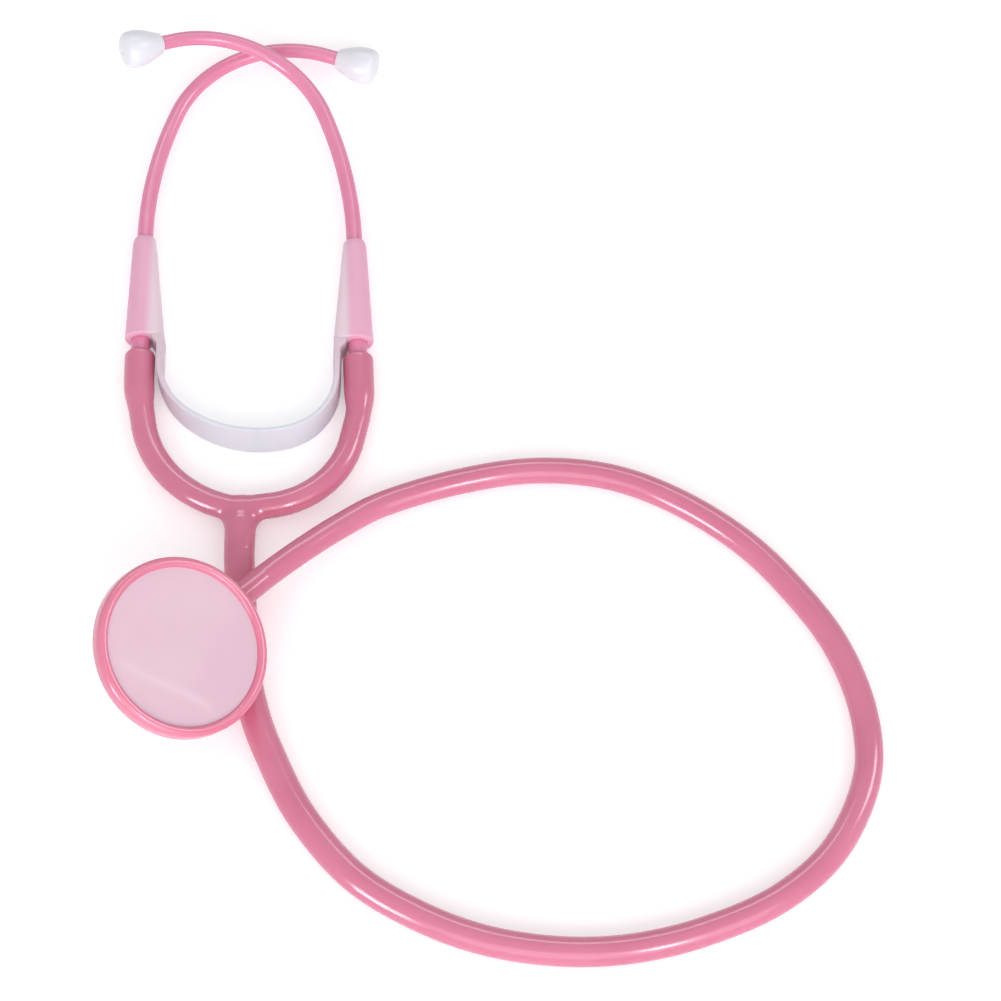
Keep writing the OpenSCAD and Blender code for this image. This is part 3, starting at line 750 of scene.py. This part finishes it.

# %% [markdown]
# The strap is made as two halves, one on each side of the lowest point. A rounded oblong is carried
# along the line. It leans a little at the bottom of the U, as a thin strap does, narrows to a
# waist near the sleeve, and thickens to a web there.

# %% Strap of the spring band
STRAP_WIDTH = 9.4
STRAP_THICK = 1.4
STRAP_EASE = 0.6
STRAP_THIN_OUT = 6
STRAP_LEAN, LEAN_SHARE = np.radians(13), 0.75
STRAP_WAIST, WAIST_FROM, WAIST_OVER = 0.12, 10, 8
STRAP_ROOT, ROOT_FROM, ROOT_OVER = 2.0, 0.5, 0.4
STRAP_WEB, WEB_FROM, WEB_OVER = 1.6, 3.4, 2.8

oblong = np.array([[-1, -1], [1, -1], [1, 1], [-1, 1]]) * [STRAP_THICK / 2, STRAP_WIDTH / 2]
oblong = eased(oblong, [STRAP_EASE] * 4)
oblong = filled(np.vstack([oblong, oblong[:1]]), 1.0)[:-1]


def ribbon(line):
    """The oblong carried along half of the U, closed at both ends, and the same points laid out
    flat. Its thick and wide directions turn about the line by the lean; its waist, root and web
    are smooth steps along the line."""
    reach = reach_of(line)
    share, beyond = reach / reach[-1], reach - reach[-1]
    ahead = unit(np.gradient(line, reach, axis=0, edge_order=2))
    lean = (STRAP_LEAN * (1 - smooth(share / LEAN_SHARE)))[:, None]
    inward = np.cross(UP, ahead)
    wide = np.cos(lean) * UP + np.sin(lean) * inward
    thick = np.cos(lean) * inward - np.sin(lean) * UP
    wide = wide * (1 - STRAP_WAIST * smooth((beyond + WAIST_FROM) / WAIST_OVER))[:, None]
    root = smooth((share - ROOT_FROM) / ROOT_OVER)
    web = smooth((beyond + WEB_FROM) / WEB_OVER)
    stout = 1 + (STRAP_ROOT / STRAP_THICK - 1) * root + STRAP_WEB / STRAP_THICK * web
    across = oblong[None, :, :1] * stout[:, None, None] - (STRAP_WEB / 2 * web)[:, None, None]
    body = line[:, None] + across * thick[:, None] + oblong[None, :, 1:] * wide[:, None]
    closing = np.repeat(line[[0, -1]][:, None], len(oblong), axis=1)
    body = np.vstack([closing[:1], body, closing[1:]])
    along = np.concatenate([reach[:1], reach, reach[-1:]])[:, None, None]
    flat = np.concatenate([
        np.repeat(oblong[None], len(along), axis=0), along + np.zeros((1, len(oblong), 1))
    ], axis=2)
    return body, flat


for side in SIDES:
    line = strap_line(side)[::STRAP_THIN_OUT]
    body, flat = ribbon(line)
    lowest = [strap_middle + STRAP_SHIFT, 0, 0] + JOIN
    mirror = [SIDES[side]["out"], 1, 1]
    strap = skin(f"{side}_strap_half", body * mirror + lowest, flat)
    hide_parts("spring_strap")
    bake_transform(strap)

# %% [markdown]
# The chest piece is a shallow cup with a domed back, a film across its mouth and a ring that
# holds the film. All three are lathe shapes about one axis, which is tilted, because the cup
# leans on the hose. Spin could turn them, but about an axis that is set by hand each time. Here
# they are worked out upright, and then turned and moved together.

# %% Frame of the chest piece
def turn_matrix(axis, angle):
    """Matrix of a turn about the X, Y or Z axis, numbered 0 to 2."""
    i, j = [k for k in range(3) if k != axis]
    if axis == 1:
        i, j = j, i
    matrix = np.eye(3)
    matrix[i, i] = matrix[j, j] = np.cos(angle)
    matrix[j, i] = np.sin(angle)
    matrix[i, j] = -np.sin(angle)
    return matrix


chest_turn = turn_matrix(2, CHEST_HEADING) @ turn_matrix(1, CHEST_DIP) @ turn_matrix(0, CHEST_ROLL)


def on_chest(points):
    """Points of the chest piece's frame, X along its stem and Z out of the film, placed."""
    return points @ chest_turn.T + CHEST


def lathe(outline, columns):
    """A turned shape about Z: each outline point, a height and a radius, becomes a ring."""
    z, r = np.array(outline, float).T
    a = np.linspace(0, 2 * np.pi, columns, endpoint=False)[None, :]
    return np.stack([r[:, None] * np.cos(a), r[:, None] * np.sin(a), z[:, None] + 0 * a], axis=-1)


print("chest axis", (chest_turn @ UP).round(3).tolist())

# %% [markdown]
# The cup's back is a quarter of an ellipse, turned, down to a small flat that the toy can rest on.
# A short boss sticks out of its side and ends in a thinner spigot, which the hose grips. The boss
# starts inside the cup, so the two mouldings look like one.

# %% Cup and stem of the chest piece
FILM_LOW = 8.7
BODY_LOW = 5.6
BACK_Z = -4.9
BODY_R = 22.0
BACK_R = 10.0
RIM_R = 22.6
BOSS_R, BOSS_REACH, BOSS_EDGE = 4.0, 22.9, 0.35
SPIGOT_R, SPIGOT_LENGTH, SPIGOT_EDGE = 2.3, 11, 0.4

a = np.linspace(0, np.pi / 2, 24)
dome = np.stack([
    BODY_LOW - (BODY_LOW - BACK_Z) * np.sin(a), BACK_R + (BODY_R - BACK_R) * np.cos(a)
], axis=1)
cup_outline = np.vstack([
    [[FILM_LOW, 0], [FILM_LOW, RIM_R], [BODY_LOW, RIM_R]], dome, [[BACK_Z, 0]]
])
cup_points = lathe(filled(cup_outline, 2.5), columns=144)
cup = skin("chest_cup", on_chest(cup_points), cup_points)
dress(cup, "chest_piece", "chest_body")

stem_end = BOSS_REACH + SPIGOT_LENGTH
stem_outline = filled(np.array([
    [0, 0], [0, BOSS_R], [BOSS_REACH - BOSS_EDGE, BOSS_R], [BOSS_REACH, BOSS_R - BOSS_EDGE],
    [BOSS_REACH, SPIGOT_R], [stem_end - SPIGOT_EDGE, SPIGOT_R], [stem_end, SPIGOT_R - SPIGOT_EDGE],
    [stem_end, 0],
]), 2.0)
stem_line = straight_line(CHEST, CHEST + (stem_end + 1) * chest_ahead)
stem = skin("chest_stem", *carried(stem_line, stem_outline))
dress(stem, "chest_piece", "chest_body")

# %% [markdown]
# The film is a flat disc of thin plastic. A faint pale streak of painted sheen, a painted
# reflection, lies along a chord low on the disc. A mark on each point of the mesh says how much of
# the painted sheen is there, and the finish reads that mark. Nodes could draw the chord as well, but
# a formula on the points is easier to read. The grid is close, so that the mark stays smooth.

# %% Film across the cup
FILM_TOP = 9.3
FILM_EDGE = 0.2
# place, angle, width and bow of the painted sheen: a pale streak painted where a reflection lies
SHEEN_PLACE = 11.8
SHEEN_ANGLE = np.radians(207)
SHEEN_WIDTH = 1.3
SHEEN_BOW = 0.5
SHEEN_BOW_LENGTH = 4.5
SHEEN_HALF = 17
SHEEN_FADE = 7


def painted_sheen_mark(piece):
    """How much of the painted sheen, a pale streak standing in for a reflection, each point has: a
    bell curve of the distance from the chord, which waves gently along its length, times a fade to
    nothing at its two ends."""
    mesh = piece.data
    flat = np.zeros(3 * len(mesh.vertices), np.float32)
    mesh.attributes["lay"].data.foreach_get("vector", flat)
    x, y, _ = flat.reshape(-1, 3).T / MM
    along = y * np.cos(SHEEN_ANGLE) - x * np.sin(SHEEN_ANGLE)
    away = x * np.cos(SHEEN_ANGLE) + y * np.sin(SHEEN_ANGLE) - SHEEN_PLACE
    away = away + SHEEN_BOW * np.sin(along / SHEEN_BOW_LENGTH)
    mark = np.exp(-(away / SHEEN_WIDTH) ** 2) * smooth((SHEEN_HALF - np.abs(along)) / SHEEN_FADE)
    painted_sheen = mesh.attributes.new("painted_sheen", "FLOAT", "POINT")
    painted_sheen.data.foreach_set("value", mark.astype(np.float32))
    print("crease on", int((mark > 0.1).sum()), "points")


film_r = np.concatenate([np.linspace(0, RIM_R - FILM_EDGE, 90), [RIM_R]])
film_top = np.stack([np.where(film_r < RIM_R, FILM_TOP, FILM_TOP - FILM_EDGE), film_r], axis=1)
film_points = lathe(np.vstack([film_top, [[FILM_LOW, RIM_R], [FILM_LOW, 0]]]), columns=288)
film = skin("chest_film", on_chest(film_points), film_points)
painted_sheen_mark(film)
dress(film, "chest_piece", "diaphragm")

# %% [markdown]
# The ring is a rounded bead that snaps over the rim of the cup and holds the film down. Its
# outline is a loop: up the outer wall with an eased foot, over a large round and a smaller one,
# and back under the lip. The two rounds give it the two lines of light that a bead has.

# %% Ring that holds the film
RING_R = 24.4
RING_INNER_R = 22.7
RING_LOW = 5.7
RING_EDGE = 0.5
RING_ROUND = 1.65
LIP_ROUND = 1.25
OPENING_R = 21.5
CREST_Z = 10.5


def quarter(middle_z, middle_r, radius, start, end, count):
    """Points on an arc of an outline: heights go with the sine of the angle, radii with the
    cosine."""
    a = np.linspace(start, end, count)
    return np.stack([middle_z + radius * np.sin(a), middle_r + radius * np.cos(a)], axis=1)


ease = EASE_SHARE * RING_EDGE
ring_outline = np.vstack([
    [[RING_LOW, RING_INNER_R], [RING_LOW, RING_R - RING_EDGE], [RING_LOW + ease, RING_R - ease],
     [RING_LOW + RING_EDGE, RING_R]],
    quarter(CREST_Z - RING_ROUND, RING_R - RING_ROUND, RING_ROUND, 0, np.pi / 2, 14),
    quarter(CREST_Z - LIP_ROUND, OPENING_R + LIP_ROUND, LIP_ROUND, np.pi / 2, np.pi, 10),
    [[FILM_TOP, OPENING_R], [FILM_TOP, RING_INNER_R]],
])
ring_points = lathe(ring_outline, columns=192)
ring = skin("chest_ring", on_chest(ring_points), ring_points, loop=True)
dress(ring, "chest_piece", "retaining_ring")

# %% [markdown]
# Two effects are shared by the finishes, so each is a node group built once. The first is a
# moulded surface: a colour that drifts between two close tones, a gloss that drifts with it, and
# a fine grain. It gives only colours and values; the shader itself stays in each material.

# %% Moulded surface
FLOAT, COLOUR, VECTOR = "NodeSocketFloat", "NodeSocketColor", "NodeSocketVector"


def new_group(name, inputs, outputs):
    """A shader node group with named inputs, each with its default value, and named outputs."""
    tree = bpy.data.node_groups.new(name, "ShaderNodeTree")
    for socket, kind, value in inputs:
        tree.interface.new_socket(socket, in_out="INPUT", socket_type=kind).default_value = value
    for socket, kind in outputs:
        tree.interface.new_socket(socket, in_out="OUTPUT", socket_type=kind)
    return tree, tree.nodes.new("NodeGroupInput"), tree.nodes.new("NodeGroupOutput")


moulded, m_in, m_out = new_group(
    "moulded surface",
    [("Tone", COLOUR, (1, 1, 1, 1)), ("Deep Tone", COLOUR, (1, 1, 1, 1)),
     ("Drift Scale", FLOAT, 60), ("Smooth", FLOAT, 0.2), ("Dull", FLOAT, 0.3),
     ("Grain Scale", FLOAT, 2000)],
    [("Color", COLOUR), ("Roughness", FLOAT), ("Grain", FLOAT)],
)
where = moulded.nodes.new("ShaderNodeTexCoord")
drift = moulded.nodes.new("ShaderNodeTexNoise")
drift.inputs["Detail"].default_value = 3
even = moulded.nodes.new("ShaderNodeMapRange")
even.interpolation_type = "SMOOTHSTEP"
even.inputs["From Min"].default_value = 0.3
even.inputs["From Max"].default_value = 0.7
tones = moulded.nodes.new("ShaderNodeMix")
tones.data_type = "RGBA"
gloss = moulded.nodes.new("ShaderNodeMapRange")
grain = moulded.nodes.new("ShaderNodeTexNoise")
grain.inputs["Detail"].default_value = 2
link = moulded.links.new
link(where.outputs["Object"], drift.inputs["Vector"])
link(where.outputs["Object"], grain.inputs["Vector"])
link(m_in.outputs["Drift Scale"], drift.inputs["Scale"])
link(m_in.outputs["Grain Scale"], grain.inputs["Scale"])
link(drift.outputs["Fac"], even.inputs["Value"])
link(even.outputs["Result"], tones.inputs["Factor"])
link(m_in.outputs["Tone"], tones.inputs["A"])
link(m_in.outputs["Deep Tone"], tones.inputs["B"])
link(drift.outputs["Fac"], gloss.inputs["Value"])
link(m_in.outputs["Smooth"], gloss.inputs["To Min"])
link(m_in.outputs["Dull"], gloss.inputs["To Max"])
link(tones.outputs["Result"], m_out.inputs["Color"])
link(gloss.outputs["Result"], m_out.inputs["Roughness"])
link(grain.outputs["Fac"], m_out.inputs["Grain"])
print("group", moulded.name)

# %% [markdown]
# The second effect is the drawn surface of a hose: faint lines that run along it, left by the die.
# They are a noise squeezed along the tube. The noise reads the straightened place of each point,
# so that the lines follow the hose round its bends.

# %% Drawn lines of a hose
drawn, d_in, d_out = new_group(
    "drawn lines",
    [("Lay", VECTOR, (0, 0, 0)), ("Line Scale", FLOAT, 900), ("Stretch", FLOAT, 0.03)],
    [("Lines", FLOAT)],
)
stretch = drawn.nodes.new("ShaderNodeCombineXYZ")
stretch.inputs["X"].default_value = 1
stretch.inputs["Y"].default_value = 1
along = drawn.nodes.new("ShaderNodeVectorMath")
along.operation = "MULTIPLY"
lines = drawn.nodes.new("ShaderNodeTexNoise")
lines.inputs["Detail"].default_value = 2
link = drawn.links.new
link(d_in.outputs["Stretch"], stretch.inputs["Z"])
link(d_in.outputs["Lay"], along.inputs[0])
link(stretch.outputs["Vector"], along.inputs[1])
link(along.outputs["Vector"], lines.inputs["Vector"])
link(d_in.outputs["Line Scale"], lines.inputs["Scale"])
link(lines.outputs["Fac"], d_out.inputs["Lines"])
print("group", drawn.name)

# %% [markdown]
# Every finish of this toy is a moulded plastic, so one helper makes them all from two tones, the
# two ends of the gloss and the scales of drift and grain. What is the same all over a piece, such
# as how far light goes into it, is set on the shader's own sockets.

# %% Materials
def colour(red, green, blue):
    """A display colour, 0 to 255 a channel, as the linear colour that a shader wants."""
    c = np.array([red, green, blue]) / 255
    linear = np.where(c <= 0.04045, c / 12.92, ((c + 0.055) / 1.055) ** 2.4)
    return (*linear.tolist(), 1.0)


def moulded_material(
    name, tone, deep, smooth_dull, drift_scale=60, grain_scale=2000, grain_depth=0.00001
):
    """A material with the moulded surface: tone and gloss into the shader, grain into its bump."""
    material = bpy.data.materials.new(name)
    material.use_nodes = True
    tree = material.node_tree
    shader = tree.nodes["Principled BSDF"]
    surface = tree.nodes.new("ShaderNodeGroup")
    surface.name = "surface"
    surface.node_tree = moulded
    surface.inputs["Tone"].default_value = colour(*tone)
    surface.inputs["Deep Tone"].default_value = colour(*deep)
    surface.inputs["Drift Scale"].default_value = drift_scale
    surface.inputs["Smooth"].default_value = smooth_dull[0]
    surface.inputs["Dull"].default_value = smooth_dull[1]
    surface.inputs["Grain Scale"].default_value = grain_scale
    bump = tree.nodes.new("ShaderNodeBump")
    bump.inputs["Strength"].default_value = 1
    bump.inputs["Distance"].default_value = grain_depth
    tree.links.new(surface.outputs["Color"], shader.inputs["Base Color"])
    tree.links.new(surface.outputs["Roughness"], shader.inputs["Roughness"])
    tree.links.new(surface.outputs["Grain"], bump.inputs["Height"])
    tree.links.new(bump.outputs["Normal"], shader.inputs["Normal"])
    return material, tree, shader


def scatter(shader, weight, radius, depth):
    """Lets light into a plastic: how much of it, how far each colour goes, and how deep."""
    shader.inputs["Subsurface Weight"].default_value = weight
    shader.inputs["Subsurface Radius"].default_value = radius
    shader.inputs["Subsurface Scale"].default_value = depth


def wear(material, *names):
    """Gives a material to the pieces of those names."""
    for name in names:
        bpy.data.objects[name].data.materials.append(material)
    print(material.name, "on", len(names), "pieces")


print("a mid pink in the shader:", np.round(colour(218, 125, 154), 3).tolist())

# %% [markdown]
# The tubing is soft glossy PVC. It is dyed through, so its colour is even, and its gloss is that
# of a drawn hose: clear reflections, broken only by the faintest lines along the tube. A little
# light goes into it and comes out again, which the subsurface part of the shader gives.

# %% Soft PVC
LINE_DEPTH = 0.000004


def mark_of(tree, name):
    """A node that reads one of the marks on a mesh's points."""
    node = tree.nodes.new("ShaderNodeAttribute")
    node.attribute_name = name
    return node


pvc, tree, shader = moulded_material(
    "soft PVC", (218, 125, 154), (212, 117, 147), (0.13, 0.18), drift_scale=45,
    grain_depth=LINE_DEPTH,
)
hose_lines = tree.nodes.new("ShaderNodeGroup")
hose_lines.node_tree = drawn
tree.links.new(mark_of(tree, "lay").outputs["Vector"], hose_lines.inputs["Lay"])
tree.links.new(hose_lines.outputs["Lines"], tree.nodes["Bump"].inputs["Height"])
scatter(shader, weight=0.12, radius=(1.0, 0.35, 0.45), depth=0.0015)
wear(pvc, "long_tube", "tube_end", "left_arm_tube", "right_arm_tube", "y_middle")

# %% [markdown]
# The ear tubes, the cup and the ring are harder plastic. The ring is the brightest pink and has
# the clearest gloss; the ear tubes are a little softer, and the hidden cup is the dullest.

# %% Hard plastics
HARD_PLASTICS = {
    "ear tube plastic": [
        (233, 141, 177), (228, 134, 170), (0.13, 0.22), ("left_bent_tube", "right_bent_tube")
    ],
    "ring plastic": [(231, 131, 160), (227, 124, 154), (0.14, 0.2), ("chest_ring",)],
    "cup plastic": [(236, 140, 168), (231, 132, 160), (0.2, 0.3), ("chest_cup", "chest_stem")],
}
for name, (tone, deep, smooth_dull, pieces) in HARD_PLASTICS.items():
    wear(moulded_material(name, tone, deep, smooth_dull)[0], *pieces)

# %% [markdown]
# The film is matte plastic, pale pink, which never lies quite flat: a slow ripple in the bump
# softens what it mirrors. A pale streak of painted sheen, a painted reflection, is mixed over its
# colour, by as much as its mark says.

# %% Film
def tint_over(tree, shader, amount, tint):
    """Mixes a tint over the moulded colour, by an amount that changes over the surface."""
    mix = tree.nodes.new("ShaderNodeMix")
    mix.data_type = "RGBA"
    mix.inputs["B"].default_value = colour(*tint)
    tree.links.new(amount, mix.inputs["Factor"])
    tree.links.new(tree.nodes["surface"].outputs["Color"], mix.inputs["A"])
    tree.links.new(mix.outputs["Result"], shader.inputs["Base Color"])


film_plastic, tree, shader = moulded_material(
    "film", (222, 186, 203), (217, 180, 198), (0.36, 0.46), drift_scale=35, grain_scale=60,
    grain_depth=0.0003,
)
# the paler tint is painted sheen: a painted reflection along a chord of the film
tint_over(tree, shader, mark_of(tree, "painted_sheen").outputs["Fac"], (226, 191, 208))
wear(film_plastic, "chest_film")

# %% [markdown]
# The spring band is frosted: light goes into it, is scattered and comes out again. Scattering is
# slow to work out, so only a little of it is left to the shader. The rest is painted light in the
# colour: where a sleeve is thin over the ear tube, the tube's pink as it would shine through is
# painted on, and it fades to milky white across the fin. The strap fades from white at its bottom
# to a faint pink at the sleeves.

# %% Frosted strap and sleeves
def frosted_material(name, tone, deep, axis, start, end, tint):
    """A milky material: the moulded surface with some scattering and a little transmission. Its
    colour fades to a tint between two places on one axis of the straightened piece."""
    material, tree, shader = moulded_material(name, tone, deep, (0.42, 0.52), grain_scale=1500)
    scatter(shader, weight=0.25, radius=(1.0, 0.8, 0.9), depth=0.002)
    shader.inputs["Transmission Weight"].default_value = 0.12
    shader.inputs["IOR"].default_value = 1.42
    apart = tree.nodes.new("ShaderNodeSeparateXYZ")
    amount = tree.nodes.new("ShaderNodeMapRange")
    amount.interpolation_type = "SMOOTHSTEP"
    amount.inputs["From Min"].default_value = start
    amount.inputs["From Max"].default_value = end
    tree.links.new(mark_of(tree, "lay").outputs["Vector"], apart.inputs["Vector"])
    tree.links.new(apart.outputs[axis], amount.inputs["Value"])
    tint_over(tree, shader, amount.outputs["Result"], tint)
    return material


frosted_strap = frosted_material(
    "frosted strap", (238, 242, 251), (234, 238, 248),
    axis="Z", start=0.012, end=0.042, tint=(232, 209, 222),
)
wear(frosted_strap, "left_strap_half", "right_strap_half")
# the sleeve's pink tint is painted light: the ear tube's pink as it would shine through the wall
frosted_sleeve = frosted_material(
    "frosted sleeve", (250, 225, 237), (247, 220, 233),
    axis="X", start=-0.0036, end=-0.0008, tint=(251, 186, 214),
)
wear(frosted_sleeve, "left_frosted_sleeve", "right_frosted_sleeve")

# %% [markdown]
# The ear tips are a soft white plastic, a little see-through at its edges. More light goes into
# it than into the tubing, which takes the hardness out of its shadows.

# %% White tips
tip_white, tree, shader = moulded_material(
    "white tip", (236, 236, 243), (231, 231, 239), (0.28, 0.38)
)
scatter(shader, weight=0.3, radius=(1.0, 0.9, 0.9), depth=0.002)
wear(tip_white, "left_white_tip", "right_white_tip")

# %% [markdown]
# A pale table top carries the toy and its soft shadow. To look white it glows a little, but only
# for rays that the eye sees, straight or mirrored: the light on the toy stays at a plain level.

# %% Table
TABLE_HALF = 4000
TABLE_DROP = 0.05


def seen_level(tree, unseen, seen):
    """One strength for rays that the eye sees, straight or in a reflection or through a clear
    piece, and another for the light that falls on the toy."""
    path = tree.nodes.new("ShaderNodeLightPath")
    either = tree.nodes.new("ShaderNodeMath")
    level = tree.nodes.new("ShaderNodeMapRange")
    level.inputs["To Min"].default_value = unseen
    level.inputs["To Max"].default_value = seen
    through = tree.nodes.new("ShaderNodeMath")
    tree.links.new(path.outputs["Is Camera Ray"], either.inputs[0])
    tree.links.new(path.outputs["Is Glossy Ray"], either.inputs[1])
    tree.links.new(either.outputs["Value"], through.inputs[0])
    tree.links.new(path.outputs["Is Transmission Ray"], through.inputs[1])
    tree.links.new(through.outputs["Value"], level.inputs["Value"])
    return level.outputs["Result"]


x, y = np.meshgrid([-TABLE_HALF, TABLE_HALF], [-TABLE_HALF, TABLE_HALF], indexing="ij")
corners = np.stack([x, y, -TABLE_DROP + 0 * x], axis=-1)
table_mesh = bpy.data.meshes.new("table")
table_mesh.from_pydata((corners.reshape(-1, 3) * MM).tolist(), [], [(0, 2, 3, 1)])
table = bpy.data.objects.new("table", table_mesh)
scene.collection.objects.link(table)
table_paint, tree, shader = moulded_material(
    "table", (250, 250, 251), (248, 248, 249), (0.6, 0.7), drift_scale=4, grain_scale=600
)
shader.inputs["Specular IOR Level"].default_value = 0.0
shader.inputs["Emission Color"].default_value = (1, 1, 1, 1)
tree.links.new(seen_level(tree, unseen=0.03, seen=0.3), shader.inputs["Emission Strength"])
wear(table_paint, "table")

# %% [markdown]
# The world gives even light from all round, and one wide panel in front gives it a direction. The
# other four panels are only mirrored and add no light of their own, so that the gloss can be set
# without the colours: a strip behind draws the thin line along the top of the hose, two boxes in
# front give the short bright patches on its lower flank, and a card lights the right of the loop.

# %% World and lamps
world = bpy.data.worlds.new("studio")
world.use_nodes = True
sky = world.node_tree.nodes["Background"]
sky.inputs["Color"].default_value = (1, 1, 1, 1)
scene.world = world
sky_level = seen_level(world.node_tree, unseen=0.68, seen=1.0)
world.node_tree.links.new(sky_level, sky.inputs["Strength"])


def soft_box(name, towards, distance, size, level, glint_only=True):
    """A lamp panel at a distance from the toy, facing it. Its power is its brightness times its
    area times pi, so that level is the brightness seen in a mirror. A glint panel is only
    mirrored, and adds no light of its own."""
    data = bpy.data.lights.new(name, "AREA")
    data.shape = "RECTANGLE"
    data.size, data.size_y = size
    data.energy = level * np.pi * size[0] * size[1]
    lamp = bpy.data.objects.new(name, data)
    way = Vector(unit(np.array(towards, float)))
    lamp.location = Vector(AIM * MM) + distance * way
    lamp.rotation_euler = way.to_track_quat("Z", "Y").to_euler()
    lamp.visible_camera = False
    lamp.visible_diffuse = not glint_only
    scene.collection.objects.link(lamp)


soft_box("strip behind", (0.0, 0.69, 0.72), distance=1.4, size=(1.1, 0.36), level=4.2)
soft_box("box front left", (-0.685, -0.709, 0.24), distance=1.5, size=(0.4, 0.6), level=16.0)
soft_box("box front right", (0.302, -0.749, 0.58), distance=1.5, size=(0.2, 0.45), level=18.0)
soft_box(
    "wide front", (0.1, -0.85, 0.53), distance=1.8, size=(2.4, 1.4), level=2.05, glint_only=False
)
soft_box("card right", (0.80, 0.17, 0.57), distance=1.6, size=(0.5, 0.5), level=9.0)
scene.view_settings.view_transform = "Standard"
print("lamps", len(bpy.data.lights))
